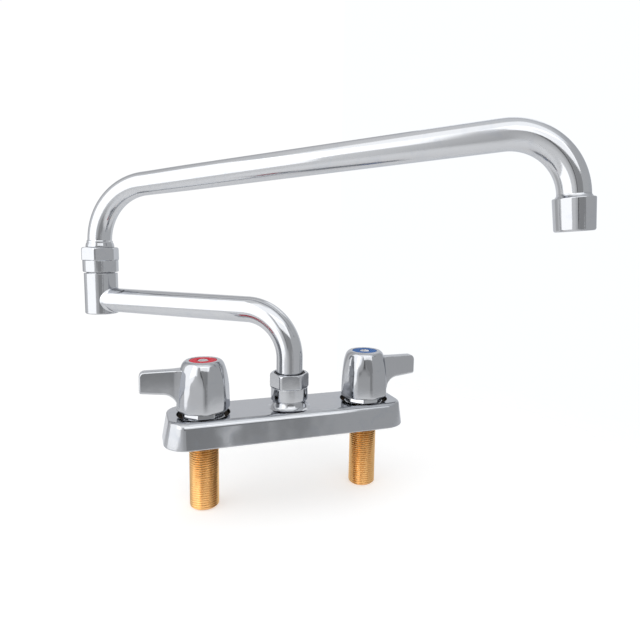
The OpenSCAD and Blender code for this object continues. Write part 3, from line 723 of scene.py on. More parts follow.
@dataclass
class DeckBody:
    """The cast deck body with its flared foot and two valve holes."""

    length: float = 148.0
    width: float = 41.0
    height: float = 15.2
    end_draft: float = 3.0
    side_draft: float = 2.0
    corner_r: float = 14.4
    corner_draft: float = 4.0
    edge_r: float = 1.3
    front_edge_r: float = 3.6
    corner_steps: int = 14
    rim_r: float = 0.8
    wall: float = 2.4
    roof: float = 2.6
    spacing: float = SPACING
    hole_d: float = 30.4
    hole_edge: float = 0.5
    hole_depth: float = 6.0
    painted_shade_depth: float = 1.6
    foot_h: float = 4.8
    foot_flare: float = 4.48
    foot_neck_d: float = 19.8
    foot_sink: float = 0.2
    foot_edge_h: float = 0.25
    foot_edge_t: float = 0.2
    riser_hole_d: float = 18.9
    riser_low: float = 6.0
    cut_past: float = 2.0
    forward: float = RISER_FORWARD

    def level(self, z: Union[float, np.ndarray], inset: Union[float, np.ndarray]) -> np.ndarray:
        """Draws the body's outline at a height.

        Args:
            z: the height, one or one for each point.
            inset: how far the outline is shrunk, likewise.

        Returns:
            The points of the outline.
        """
        rise = z / self.height
        x = self.length / 2 - inset - rise * self.end_draft
        y = self.width / 2 - inset - rise * self.side_draft
        r = np.maximum(self.corner_r - rise * self.corner_draft - inset / 2, 0.5)
        sx, sy, turns = self.corners()
        return np.c_[sx * (x - r) + r * np.cos(turns), sy * (y - r) + r * np.sin(turns), z + 0 * turns]

    def corners(self) -> tuple[np.ndarray, np.ndarray, np.ndarray]:
        """Lists how the outline's points lie.

        Returns:
            The side in X, the side in Y and the direction of each point.
        """
        count = self.corner_steps + 1
        turns = np.radians(np.concatenate([np.linspace(a, a + 90, count) for a in (0, 90, 180, 270)]))
        return np.repeat([1, -1, -1, 1], count), np.repeat([1, 1, -1, -1], count), turns

    def foot(self) -> Shell:
        """Draws the flared foot.

        Returns:
            The foot, on the axis of the riser.
        """
        low, top = self.height - self.roof / 2, self.height + self.foot_h
        neck, flare = self.foot_neck_d / 2, self.foot_flare
        base = self.height - self.foot_sink
        profile = [(0.0, low), (neck + flare, low)]
        profile += arc(neck + flare, base + flare, flare, 270, 180, 14)
        profile += [(neck, top - self.foot_edge_h), (neck - self.foot_edge_t, top), (0.0, top)]
        return Shell(128).lathe(profile)

    def skin(self) -> Shell:
        """Draws the hollow body before its holes are cut.

        Returns:
            The body.
        """
        rings = [self.level(self.height - self.roof, self.wall), self.level(0.0, self.wall)]
        for x, z in arc(self.rim_r, self.rim_r, self.rim_r, 270, 180, 4):
            rings.append(self.level(z, x))
        front = np.maximum(-np.sin(self.corners()[2]), 0) ** 2
        edge = self.edge_r + (self.front_edge_r - self.edge_r) * front
        for x, z in arc(1, -1, 1, 180, 90, 9):
            rings.append(self.level(self.height + z * edge, x * edge))
        return Shell().skin(rings, caps=True)

    def cutters(self) -> list[bpy.types.Mesh]:
        """Makes the tools that cut the valve holes and the riser's hole.

        Returns:
            Their meshes.
        """
        top, hole, edge = self.height, self.hole_d / 2, self.hole_edge
        valve = [(0.0, top - self.hole_depth), (hole, top - self.hole_depth)]
        valve += arc(hole + edge, top - edge, edge, 180, 90, 4)
        valve += [(hole + edge, top + self.cut_past), (0.0, top + self.cut_past)]
        bore, high = self.riser_hole_d / 2, top + self.foot_h + self.cut_past
        riser = [(0.0, self.riser_low), (bore, self.riser_low), (bore, high), (0.0, high)]
        made = [self._placed(Shell(128).lathe(valve), side * self.spacing / 2, 0) for side in (-1, 1)]
        return made + [self._placed(Shell(96).lathe(riser), 0, -self.forward)]

    def build(self) -> None:
        """Builds and dresses the body."""
        body = combine(self.skin().mesh("deck"), self._placed(self.foot(), 0, -self.forward), "UNION")
        for cutter in self.cutters():
            body = combine(body, cutter, "DIFFERENCE", 30.0)
        add_piece("deck_casting", body, Finishes.CAST, "base", shift(), "deck_body")
        # Faces deeper than a set depth under the outer surface take the near-black inside finish: painted
        # shade in the holes and the hollow.
        body.materials.append(Finishes.CAST_INSIDE_SHADE.value.material())
        for face in body.polygons:
            face.material_index = int(self.depth(face.center / MM) > self.painted_shade_depth)

    def depth(self, point: Vector) -> float:
        """Measures how far a point lies inside the outer surface.

        Args:
            point: the point, in millimetres.

        Returns:
            Its depth.
        """
        rise = point.z / self.height
        r = self.corner_r - rise * self.corner_draft
        x = abs(point.x) - (self.length / 2 - rise * self.end_draft - r)
        y = abs(point.y) - (self.width / 2 - rise * self.side_draft - r)
        edge = r - math.hypot(max(x, 0), max(y, 0)) - min(max(x, y), 0)
        return min(edge, self.height - point.z)

    @staticmethod
    def _placed(shell: Shell, x: float, y: float) -> bpy.types.Mesh:
        """Makes the mesh of a shell and moves it.

        Args:
            shell: the shell.
            x: the move in X.
            y: the move in Y.

        Returns:
            The mesh.
        """
        mesh = shell.mesh("placed")
        mesh.transform(shift(x, y))
        return mesh


@dataclass
class SwivelNut:
    """A swivel nut: a round skirt under a six-sided top with a rounded rim."""

    flats: float = 21.0
    skirt_d: float = 22.4
    skirt_h: float = 7.8
    hex_h: float = 8.6
    corner_r: float = 1.3
    corner_share: float = 0.97
    rim_r: float = 1.6
    skirt_low_r: float = 0.5
    skirt_high_r: float = 0.3
    seam: float = 0.25
    seam_levels: tuple[float, ...] = (0.0, 0.12, 0.3, 0.55)
    bore_d: float = 19.0
    bore_edge: float = 0.4
    lip_d: float = 17.0
    lip_h: float = 3.0
    recess_d: float = 18.8
    recess_edge: float = 0.2
    recess_h: float = 1.4

    def shell(self) -> Shell:
        """Draws the nut, standing on the origin.

        Returns:
            The nut.
        """
        made = Shell(192)
        height = self.skirt_h + self.hex_h
        side = polygon_radius(made.turns, 6, self.flats, self.corner_r, 0.0)
        reach = self.flats / math.cos(math.pi / 6) / 2 * self.corner_share
        skirt, low, high = self.skirt_d / 2, self.skirt_low_r, self.skirt_high_r
        rings = made.rings(arc(skirt - low, low, low, 270, 360, 4)
                           + arc(skirt - high, self.skirt_h - high, high, 0, 90, 3))
        rings.append(made.ring(np.minimum(side, skirt - high) - self.seam, self.skirt_h))
        for z in self.seam_levels:
            fade = self.seam * (1 - z / self.seam_levels[-1]) ** 2
            rings.append(made.ring(np.minimum(side, reach) - fade, self.skirt_h + z))
        for r, z in arc(reach - self.rim_r, height - self.rim_r, self.rim_r, 0, 90, 12):
            rings.append(made.ring(self._soft(side, r), z))
        recess, lip, bore = self.recess_d / 2, self.lip_d / 2, self.bore_d / 2
        shelf, ledge = height - self.recess_h, height - self.lip_h
        rings += made.rings([(recess + self.recess_edge, height), (recess, height - self.recess_edge),
                             (recess, shelf), (lip, shelf), (lip, ledge), (bore, ledge),
                             (bore, self.bore_edge), (bore + self.bore_edge, 0.0)])
        return made.skin(rings, closed=True)

    @staticmethod
    def _soft(side: np.ndarray, rim: float, width: float = 0.35) -> np.ndarray:
        """Returns the smaller of two radii, rounded where they meet."""
        share = np.clip(0.5 + (side - rim) / (2 * width), 0, 1)
        return side * (1 - share) + rim * share - width * share * (1 - share)

    def build(self, name: str, node: str, body: str, place: Matrix) -> None:
        """Builds and dresses one nut."""
        add_piece(name, self.shell().mesh(name, 40.0), Finishes.MILLED, body, place, node)


@dataclass
class Valve:
    """One valve above the deck: bonnet, hub with lever, index ring and screw."""

    side: int
    spacing: float = SPACING
    bonnet_z: float = 11.2
    bonnet_flats: float = 23.4
    bonnet_corner_r: float = 0.8
    bonnet_edge: float = 0.3
    bonnet_low: float = 2.3
    bonnet_groove: float = 0.6
    groove_depth: float = 0.9
    bonnet_top: float = 3.0
    bonnet_sill: tuple[Span, ...] = ((-0.4, 0.0), (-0.2, 0.2))
    bonnet_brow: tuple[Span, ...] = ((-0.75, -0.4), (-0.9, -0.12), (-1.2, 0.0))
    bonnet_bore_d: float = 19.48
    bonnet_bore_h: float = 4.24
    neck_d: float = 14.0
    hub_gap: float = 0.5
    hub_flats: float = 29.0
    hub_h: float = 28.8
    hub_top_d: float = 19.6
    hub_corner_r: float = 5.6
    hub_facet_turn: float = 0.0
    round_from: float = 0.5
    round_to: float = 0.93
    hub_wall: float = 2.0
    hub_edge: float = 0.25
    hub_edge_h: float = 0.12
    hub_edge_start: float = 0.02
    rim_ease: float = 0.35
    rim_fade: float = 0.25
    index_edge: float = 0.15
    cavity_z: float = 31.0
    cavity_edge: float = 0.3
    socket_z: float = 38.0
    socket_d: float = 8.1
    lever_start: tuple[float, ...] = (8.0, 11.0, 13.0)
    lever_middle: tuple[float, ...] = (27.0, 30.0)
    lever_reach: float = 35.0
    lever_end_r: float = 1.0
    lever_end_lift: float = 0.9
    lever_end_gap: float = 0.02
    lever_edge: float = 1.3
    flare: float = 1.6
    flare_from: float = 12.0
    flare_run: float = 8.0
    lever_h: float = 12.4
    lever_t: float = 6.0
    lever_drop: float = 4.4
    lever_slope: float = 1.4
    lever_fillet: float = 9.0
    lever_tip_r: float = 3.2
    index_d: float = 15.8
    index_t: float = 0.8
    index_crown: float = 0.14
    head_d: float = 6.6
    head_gap: float = 0.15
    head_h: float = 2.4
    head_side_h: float = 1.1
    screw_d: float = 3.9
    screw_len: float = 16.0
    screw_tip: float = 0.5
    screw_tip_h: float = 0.6
    slot_half_t: float = 0.42
    slot_half_len: float = 1.9
    slot_depth: float = 1.25
    slot_past: float = 0.4
    slot_low_share: float = 0.35
    slot_turn: float = 38.0
    shares: tuple[float, ...] = (0, 0.05, 0.34, 0.56, 0.76, 0.9, 0.965, 1)
    widths: tuple[float, ...] = (0.985, 1, 0.985, 0.955, 0.905, 0.83, 0.76)

    @property
    def name(self) -> str:
        """The valve's name."""
        return "hot" if self.side < 0 else "cold"

    @property
    def place(self) -> Matrix:
        """The frame of the valve, with the lever along +X."""
        return shift(self.side * self.spacing / 2) @ turn(180 if self.side < 0 else 0)

    @property
    def hub_low(self) -> float:
        """Height of the rim of the hub."""
        return self.bonnet_z + self.bonnet_low + self.bonnet_groove + self.bonnet_top + self.hub_gap

    @property
    def hub_top(self) -> float:
        """Height of the top of the hub."""
        return self.hub_low + self.hub_h

    def outline(self) -> Profile:
        """Draws a smooth line through the hub's levels.

        Returns:
            The height and the width at each step.
        """
        widths = [*(w * self.hub_flats for w in self.widths), self.hub_top_d]
        keys = np.array([(self.hub_h * share, width) for share, width in zip(self.shares, widths)])
        ends = np.vstack([2 * keys[0] - keys[1], keys, 2 * keys[-1] - keys[-2]])
        made = []
        for a, b, c, d in zip(ends, ends[1:], ends[2:], ends[3:]):
            for t in np.linspace(0, 1, 7)[:-1]:
                made.append(0.5 * (2 * b + (c - a) * t + (2 * a - 5 * b + 4 * c - d) * t * t
                                   + (3 * b - a - 3 * c + d) * t ** 3))
        made.append(keys[-1])
        return [(float(h), min(float(w), self.hub_flats)) for h, w in made]

    def hub_side(self, turns: np.ndarray, height: float, width: float) -> np.ndarray:
        """Draws the hub's side at a height: facets that turn into a round shoulder.

        Args:
            turns: directions, in radians.
            height: the height above the hub's rim.
            width: the width across the facets.

        Returns:
            The radius in each direction.
        """
        share = (height / self.hub_h - self.round_from) / (self.round_to - self.round_from)
        share = min(max(share, 0), 1)
        return polygon_radius(turns, 8, width, self.hub_corner_r, math.radians(self.hub_facet_turn),
                              share * share * (3 - 2 * share))

    def hub(self) -> Shell:
        """Draws the hollow hub.

        Returns:
            The hub.
        """
        made = Shell(192)
        top = self.hub_top
        rings = []
        for h, w in self.outline():
            ease = self.rim_ease * math.exp(-h / self.rim_fade) if h < 1 else 0.0
            rings.append(made.ring(self.hub_side(made.turns, h, w) - ease, self.hub_low + h))
        edge = self.hub_side(made.turns, self.hub_h, self.hub_top_d)
        rings[-1:] = made.rings([(edge - self.hub_edge_start, top - self.hub_edge_h),
                                 (edge - self.hub_edge, top)])
        wall, socket = self.hub_flats / 2 - self.hub_wall, self.socket_d / 2
        recess, shelf = self.index_d / 2 + SLIDE, top - self.index_t
        head, screw = self.head_d / 2 + self.head_gap, self.screw_d / 2 + SLIDE
        head_z = shelf - self.head_h / 2
        rings += made.rings([
            (recess + self.index_edge, top), (recess, top - self.index_edge), (recess, shelf),
            (head, shelf), (head, head_z), (screw, head_z), (screw, self.socket_z), (socket, self.socket_z),
            (socket, self.cavity_z), (wall, self.cavity_z), (wall, self.hub_low + self.cavity_edge),
            (wall + self.cavity_edge, self.hub_low)])
        return made.skin(rings, closed=True)

    def lever(self) -> Shell:
        """Draws the lever, from inside the hub to its tip.

        Returns:
            The lever.
        """
        high = self.hub_top - self.lever_drop
        low, reach, fillet = high - self.lever_h, self.lever_reach, self.lever_fillet
        bend_x = self.hub_flats / 2 + fillet
        bend_z = low - self.lever_slope - fillet
        stations = {*self.lever_start, *np.linspace(self.hub_flats / 2, bend_x, 14).tolist(),
                    *self.lever_middle,
                    *np.linspace(reach - self.lever_tip_r, reach - self.lever_end_gap, 16).tolist()}
        rings = []
        for x in sorted(stations):
            top, half = high, self.lever_t / 2
            if x < bend_x:
                base = bend_z + self._round(fillet, min(bend_x - x, fillet))
            else:
                base = low - self.lever_slope * (reach - x) / (reach - bend_x)
            off = x - (reach - self.lever_tip_r)
            if off > 0:
                top = high - self.lever_tip_r + self._round(self.lever_tip_r, off)
            off = x - (reach - self.lever_end_r)
            if off > 0:
                cut = self.lever_end_r - self._round(self.lever_end_r, off)
                base, half = base + cut * self.lever_end_lift, half - cut
            near = min(max(0.0, 1 - (x - self.flare_from) / self.flare_run), 1.0)
            rings.append(self._section(x, base, top, half + self.flare * near ** 2, self.lever_edge))
        return Shell().skin(rings, caps=True)

    @staticmethod
    def _round(radius: float, off: float) -> float:
        """Returns the height of a circle at a distance from its middle."""
        return math.sqrt(max(radius ** 2 - off ** 2, 0))

    @staticmethod
    def _section(x: float, low: float, high: float, half: float, edge: float) -> np.ndarray:
        """Draws a rounded rectangle across the lever.

        Args:
            x: how far out it is.
            low: its lower side.
            high: its upper side.
            half: half its width.
            edge: the radius of its corners, where there is room.

        Returns:
            The points of the section.
        """
        edge = min(edge, half * 0.8, (high - low) * 0.3)
        corners = [(-half, low, edge), (half, low, edge), (half, high, edge), (-half, high, edge)]
        return np.array([(x, y, z) for y, z in rounded(corners, 6)])

    def bonnet(self) -> Shell:
        """Draws the eight-sided bonnet.

        Returns:
            The bonnet.
        """
        made = Shell(192)
        wide = polygon_radius(made.turns, 8, self.bonnet_flats, self.bonnet_corner_r, math.pi / 8)
        base, edge, low = self.bonnet_z, self.bonnet_edge, self.bonnet_z + self.bonnet_low
        groove, waist = low + self.bonnet_groove, self.bonnet_flats / 2 - self.groove_depth
        top, ceiling = groove + self.bonnet_top, base + self.bonnet_bore_h
        neck, bore = self.neck_d / 2 + SLIDE, self.bonnet_bore_d / 2
        rings = made.rings([
            (wide - edge, base), (wide, base + edge), (wide, low - edge), (wide - edge, low), (waist, low),
            (waist, groove), *((wide + out, groove + up) for out, up in self.bonnet_sill),
            *((wide + out, top + up) for out, up in self.bonnet_brow),
            (neck, top), (neck, ceiling), (bore, ceiling), (bore, base)])
        return made.skin(rings, closed=True)

    def screw(self) -> bpy.types.Mesh:
        """Makes the handle screw with its cross recess.

        Returns:
            The mesh of the screw.
        """
        top = self.hub_top - self.index_t + self.head_h / 2
        low = top - self.head_h
        head, r, tip = self.head_d / 2, self.screw_d / 2, low - self.screw_len
        crown = self.head_h - self.head_side_h
        profile = [(0.0, tip), (r - self.screw_tip, tip), (r, tip + self.screw_tip_h), (r, low),
                   (head, low)]
        profile += [(head * math.cos(a), low + self.head_side_h + crown * math.sin(a))
                    for a in np.radians(range(0, 91, 10))]
        mesh = Shell(64).lathe(profile).mesh("screw")
        for k in (0, 1):
            half = self.slot_half_t
            levels = [[(-x, -half, z), (x, -half, z), (x, half, z), (-x, half, z)] for x, z in (
                (self.slot_half_len * self.slot_low_share, top - self.slot_depth),
                (self.slot_half_len, top + self.slot_past))]
            blade = Shell(4).skin([np.array(level) for level in levels], caps=True).mesh("blade")
            blade.transform(turn(self.slot_turn + 90 * k))
            mesh = combine(mesh, blade, "DIFFERENCE")
        return mesh

    def index(self) -> Shell:
        """Draws the coloured index ring.

        Returns:
            The ring.
        """
        top, low = self.hub_top, self.hub_top - self.index_t
        outer, inner = self.index_d / 2, self.head_d / 2 + self.head_gap
        return Shell(128).lathe(rounded([
            (inner, low, 0.1), (outer, low, 0.1), (outer, top - self.index_crown, 0.25),
            (outer - 2, top, 2.0), (inner + 0.5, top, 0.3), (inner, top - self.index_edge, 0.15)]))

    def build(self) -> None:
        """Builds and dresses the valve's outer pieces."""
        handle = combine(self.hub().mesh("hub", 40.0), self.lever().mesh("lever", 40.0), "UNION", 36.0)
        tint = Finishes.RED if self.side < 0 else Finishes.BLUE
        lever = self.name + "_lever"
        for piece, node, mesh, finish, body in (
                ("lever_handle", "handle", handle, Finishes.HANDLE, lever),
                ("hood", "bonnet", self.bonnet().mesh("bonnet"), Finishes.MILLED, "base"),
                ("index", "index_ring", self.index().mesh("index"), tint, lever),
                ("screw", "handle_screw", self.screw(), Finishes.STEEL, lever)):
            add_piece(f"{self.name}_{piece}", mesh, finish, body, self.place, f"{self.name}_{node}")


@dataclass
class Shank:
    """A threaded inlet shank under a valve."""

    side: int
    spacing: float = SPACING
    d: float = 17.1
    length: float = 41.6
    bore_d: float = 10.4
    pitch: float = 1.41
    depth: float = 0.7
    chamfer: float = 1.2
    plain: float = 1.2
    top: float = 0.6
    spigot_d: float = 13.8
    spigot_top: float = 3.0
    spigot_edge: float = 0.3
    bore_edge: float = 0.4
    levels_per_turn: int = 12
    flank: float = 1.15
    root_flat: float = 0.02

    def shell(self) -> Shell:
        """Draws the shank with its helical thread.

        Returns:
            The shank.
        """
        made = Shell(72)
        low, high = -self.length, self.top
        count = int((high - low) / self.pitch * self.levels_per_turn)
        bore, spigot = self.bore_d / 2, self.spigot_d / 2
        levels = [(bore + self.bore_edge, low)]
        levels += [(self.radius(made.turns, z), z) for z in np.linspace(low, high, count).tolist()]
        levels += [(spigot, high), (spigot, self.spigot_top - self.spigot_edge),
                   (spigot - self.spigot_edge, self.spigot_top), (bore, self.spigot_top),
                   (bore, low + self.bore_edge)]
        return made.skin(made.rings(levels), closed=True)

    def radius(self, turns: np.ndarray, z: float) -> np.ndarray:
        """Measures the thread: crests, roots, and the run-out at both ends.

        Args:
            turns: directions, in radians.
            z: the height.

        Returns:
            The radius in each direction.
        """
        phase = ((z / self.pitch) - turns / (2 * math.pi)) % 1.0
        wedge = np.clip(self.flank * (1 - 2 * np.abs(phase - 0.5)) - self.root_flat, 0, 1)
        fade = min(1.0, max(0.0, (self.top - self.plain - z) / self.pitch))
        lead = self.d / 2 - self.chamfer + (z + self.length)
        return np.minimum(self.d / 2 - self.depth * (1 - wedge) * fade, lead)

    def build(self) -> None:
        """Builds and dresses the shank."""
        name = "hot" if self.side < 0 else "cold"
        add_piece(name + "_shank", self.shell().mesh("shank", 60.0), Finishes.THREAD, "base",
                  shift(self.side * self.spacing / 2), name + "_inlet_shank")


@dataclass
class LowerArm:
    """The lower arm with its post."""

    heading: float = 140.0
    nut_heading: float = -11.5
    forward: float = RISER_FORWARD
    joint_z: float = 20.0
    tube_start: float = 4.0
    tube_d: float = 15.9
    tube_wall: float = 1.2
    reach: float = 139.7
    axis_z: float = 73.0
    bend_r: float = 28.2
    post_d: float = 21.2
    post_below: float = 9.4
    post_above: float = 17.9
    post_gap: float = 0.8
    neck_d: float = 18.8
    neck_reach: float = 11.16
    swage: float = 0.2
    nut_h: float = 16.4
    bore_d: float = 16.06
    bore_floor: float = 2.0
    saddle: tuple[Span, ...] = (
        (40.0, 0.0), (4.0, 0.0), (1.9, 0.0), (1.2, 0.06), (0.7, 0.25), (0.3, 0.5), (0.0, 0.75),
        (-0.6, 0.75))
    swage_edge: float = 0.1
    swage_end: float = 0.5
    swage_run: float = 0.3
    foot_r: float = 0.8
    shoulder_r: float = 0.35
    thread_pitch: float = 1.3
    thread: tuple[Span, ...] = ((0.5, 0.0), (0.0, 0.35), (0.0, 0.55), (0.5, 0.9))
    thread_start: float = 0.3
    thread_stop: float = 1.2
    neck_edge: float = 0.3

    @property
    def place(self) -> Matrix:
        """The frame of the arm, which lies along +X of it."""
        return shift(0, -self.forward) @ turn(self.heading)

    @property
    def nut_place(self) -> Matrix:
        """The frame of the nut that holds the arm on the riser."""
        return self.place @ shift(0, 0, self.joint_z) @ turn(self.nut_heading - self.heading)

    @property
    def post_place(self) -> Matrix:
        """The frame of the post, still turned with the arm."""
        return self.place @ shift(self.reach)

    @property
    def joint_high_z(self) -> float:
        """Height of the lower face of the upper nut."""
        return self.axis_z + self.post_above + self.post_gap

    def tube(self) -> Shell:
        """Draws the bent tube, whose far end is saddled to the post.

        Returns:
            The tube.
        """
        made = Shell(96)
        r, edge = self.tube_d / 2, self.swage_edge
        leg_top, swollen = self.axis_z - self.bend_r, r + self.swage
        low, high = self.joint_z + self.neck_reach + edge, self.joint_z + self.nut_h - self.swage_end
        path = [(0.0, z, 0.0, radius) for z, radius in (
            (self.joint_z + self.tube_start, r), (low - edge, r), (low, swollen),
            (high - self.swage_run, swollen), (high, r))]
        path += [(*on_bend(self.bend_r, a, leg_top), a, r) for a in np.linspace(0, 90, 37).tolist()]
        outer = [tube_ring(made, *p) for p in path]
        inner = [tube_ring(made, x, z, a, r - self.tube_wall) for x, z, a, _ in path]
        for off, extra in self.saddle:
            outer.append(self._saddle(made, off, r + extra))
            inner.append(self._saddle(made, off, r - self.tube_wall))
        return made.skin(outer + inner[::-1], closed=True)

    def _saddle(self, made: Shell, off: float, radius: float) -> np.ndarray:
        """Draws a ring of the tube that follows the post's surface.

        Args:
            made: the shell that it is for.
            off: its distance from the post.
            radius: its radius.

        Returns:
            The points of the ring.
        """
        ring = tube_ring(made, 0.0, self.axis_z, 90.0, radius)
        ring[:, 0] = self.reach - np.sqrt((self.post_d / 2) ** 2 - ring[:, 1] ** 2) - off
        return ring

    def post(self) -> Shell:
        """Draws the closed post with its threaded neck.

        Returns:
            The post.
        """
        low, high = self.axis_z - self.post_below, self.axis_z + self.post_above
        r, neck, bore = self.post_d / 2, self.neck_d / 2, self.bore_d / 2
        foot, shoulder, edge = self.foot_r, self.shoulder_r, self.neck_edge
        top = self.joint_high_z + self.neck_reach
        profile = [(0.0, low)] + arc(r - foot, low + foot, foot, 270, 360, 5)
        profile += arc(r - shoulder, high - shoulder, shoulder, 0, 90, 3)
        profile.append((neck - self.thread[0][0], high))
        z = high + self.thread_start
        while z < top - self.thread_stop:
            profile += [(neck - depth, z + rise) for depth, rise in self.thread]
            z += self.thread_pitch
        profile += [(neck - edge, top - edge), (neck - 2 * edge, top), (bore, top),
                    (bore, low + self.bore_floor), (0.0, low + self.bore_floor)]
        return Shell(128).lathe(profile)

    def build(self) -> None:
        """Builds and dresses the arm and the post."""
        add_piece("lower_arm", self.tube().mesh("lower_arm", 50.0), Finishes.TUBE, "lower_arm", self.place,
                  "lower_arm_tube")
        add_piece("post", self.post().mesh("post"), Finishes.MILLED, "lower_arm", self.post_place,
                  "swivel_post")


def tube_ring(made: Shell, x: float, z: float, lean: float, radius: float) -> np.ndarray:
    """Draws a ring square to a path in the XZ plane.

    Args:
        made: the shell that it is for.
        x: where the path is in X.
        z: where the path is in Z.
        lean: how far the path leans from +Z towards +X, in degrees.
        radius: the radius.

    Returns:
        The points of the ring.
    """
    a = math.radians(lean)
    turns = made.turns
    return np.c_[x + radius * np.cos(turns) * math.cos(a), radius * np.sin(turns),
                 z - radius * np.cos(turns) * math.sin(a)]


@dataclass
class UpperSpout:
    """The upper spout from its collar to the aerator."""

    arm: LowerArm
    heading: float = -33.4
    nut_heading: float = 13.4
    collar_h: float = 2.8
    collar_d: float = 17.8
    collar_gap: float = 0.06
    collar_step: float = 0.9
    collar_taper: float = 0.45
    leg_show: float = 0.6
    leg_d: float = 15.2
    swell_from: float = 0.8
    swell_run: float = 1.2
    swell_leans: tuple[float, ...] = (0.6, 0.8, 1.1, 1.5, 2.0)
    near_d: float = 16.0
    outlet_d: float = 18.2
    wall: float = 1.2
    bend_r: float = 38.6
    rise: float = 6.8
    run: float = 223.8
    near_share: float = 0.13
    lead: float = 3.0
    outlet_r: float = 35.4
    outlet_turn: float = 91.8
    lip_h: float = 2.0
    lip_flare: float = 1.3
    mouth_d: float = 22.0
    housing_d: float = 23.0
    housing_h: float = 18.4
    skirt_wall: float = 2.2
    thread_h: float = 6.6
    adapter_bore_d: float = 11.0
    adapter_sink: float = 2.4
    adapter_gap: float = 0.25
    outlet_gap: float = 0.04
    flare_power: float = 1.8
    hook_wall: float = 1.5
    hook_r: float = 0.5
    skirt_r: float = 0.65
    rim: float = 1.3

    @property
    def place(self) -> Matrix:
        """The frame on the axis of the post, with the spout along +X."""
        return self.arm.post_place @ turn(self.heading - self.arm.heading)

    @property
    def nut_place(self) -> Matrix:
        """The frame of the nut that holds the spout on the post."""
        return self.place @ shift(0, 0, self.joint_z) @ turn(self.nut_heading - self.heading)

    @property
    def joint_z(self) -> float:
        """Height of the lower face of the nut."""
        return self.arm.joint_high_z

    @property
    def collar_z(self) -> float:
        """Height of the lower face of the collar."""
        return self.joint_z + self.arm.nut_h + self.collar_gap

    @property
    def leg_z(self) -> float:
        """Height of the start of the first bend."""
        return self.collar_z + self.collar_h + self.leg_show

    @property
    def outlet_place(self) -> Matrix:
        """The frame at the open end of the tube, with +Z along the water."""
        return (self.place @ shift(0, 0, self.leg_z) @ after_bend(self.bend_r, 90 - self.rise)
                @ shift(0, 0, self.run) @ after_bend(self.outlet_r, self.outlet_turn)
                @ shift(0, 0, self.outlet_gap))

    def path(self) -> list[tuple[float, float, float, float]]:
        """Lists the steps of the spout's path.

        Returns:
            The place in X and Z, the lean in degrees and the outer radius of each.
        """
        arm = self.arm
        low = self.joint_z + arm.neck_reach
        tube, swell, leg = arm.tube_d / 2, arm.tube_d / 2 + arm.swage, self.leg_d / 2
        made = [(0.0, z, 0.0, radius) for z, radius in (
            (self.joint_z + arm.tube_start, tube), (low, tube), (low + arm.swage_edge, swell),
            (self.leg_z, swell))]
        full = 90 - self.rise
        for a in (*self.swell_leans, *np.linspace(4, full, 40).tolist()):
            swollen = max(0.0, 1 - max(0.0, a - self.swell_from) / self.swell_run)
            made.append((*on_bend(self.bend_r, a, self.leg_z), a, leg + (swell - leg) * swollen ** 1.5))
        x, z = made[-1][:2]
        lean = math.radians(full)
        stops = [0, self.lead, self.run * self.near_share, self.run - self.lead, self.run]
        radii = [leg, leg, self.near_d / 2, self.outlet_d / 2, self.outlet_d / 2]
        for d in np.linspace(0, self.run, 60)[1:-1]:
            made.append((x + d * math.sin(lean), z + d * math.cos(lean), full,
                         float(np.interp(d, stops, radii))))
        start = Matrix.Translation((x, 0, z)) @ turn(full, "Y") @ Matrix.Translation((0, 0, self.run))
        for a in np.linspace(0, self.outlet_turn, 45).tolist():
            off, up = on_bend(self.outlet_r, a)
            at = start @ Vector((off, 0, up))
            made.append((at.x, at.z, full + a, self.outlet_d / 2))
        return made

    def tube(self) -> Shell:
        """Draws the spout tube.

        Returns:
            The tube.
        """
        made = Shell(112)
        path = self.path()
        outer = [tube_ring(made, *p) for p in path]
        inner = [tube_ring(made, x, z, a, min(r, self.arm.tube_d / 2 if z < self.leg_z else r) - self.wall)
                 for x, z, a, r in path]
        return made.skin(outer + inner[::-1], closed=True)

    def collar(self) -> Shell:
        """Draws the collar over the nut.

        Returns:
            The collar.
        """
        low, high, wide = self.collar_z, self.collar_z + self.collar_h, self.collar_d / 2
        inner = self.arm.tube_d / 2 + self.arm.swage + SLIDE
        return Shell(112).lathe(rounded([
            (inner, low), (wide, low, 0.2), (wide, low + self.collar_step, 1.2),
            (wide - self.collar_taper, high, 0.25), (inner, high)]))

    def lip(self) -> Shell:
        """Draws the flared outlet lip with its nipple.

        Returns:
            The lip.
        """
        thread, bore, tube = self.mouth_d / 2 - self.skirt_wall, self.adapter_bore_d / 2, self.outlet_d / 2
        sunk, end = tube - self.wall - self.adapter_gap, self.lip_h + self.thread_h
        profile = [(bore, -self.adapter_sink), (sunk, -self.adapter_sink), (sunk, 0.0), (tube, 0.0)]
        profile += [(tube + self.lip_flare * t ** self.flare_power, self.lip_h * t)
                    for t in np.linspace(0.1, 0.92, 9).tolist()]
        profile += [(tube + self.lip_flare, self.lip_h), (thread, self.lip_h), (thread, end), (bore, end)]
        return Shell(128).lathe(profile)

    def shell(self) -> Shell:
        """Draws the aerator's outer shell.

        Returns:
            The shell.
        """
        thread, h = self.mouth_d / 2 - self.skirt_wall, self.housing_h
        hook = thread - self.hook_wall
        return Shell(128).lathe(rounded([
            (thread + SLIDE, 0.0, 0.15), (self.housing_d / 2, 0.0, self.skirt_r),
            (self.mouth_d / 2, h, self.rim), (hook, h, self.hook_r), (hook, h - self.rim),
            (thread + SLIDE, h - self.rim)], 6))

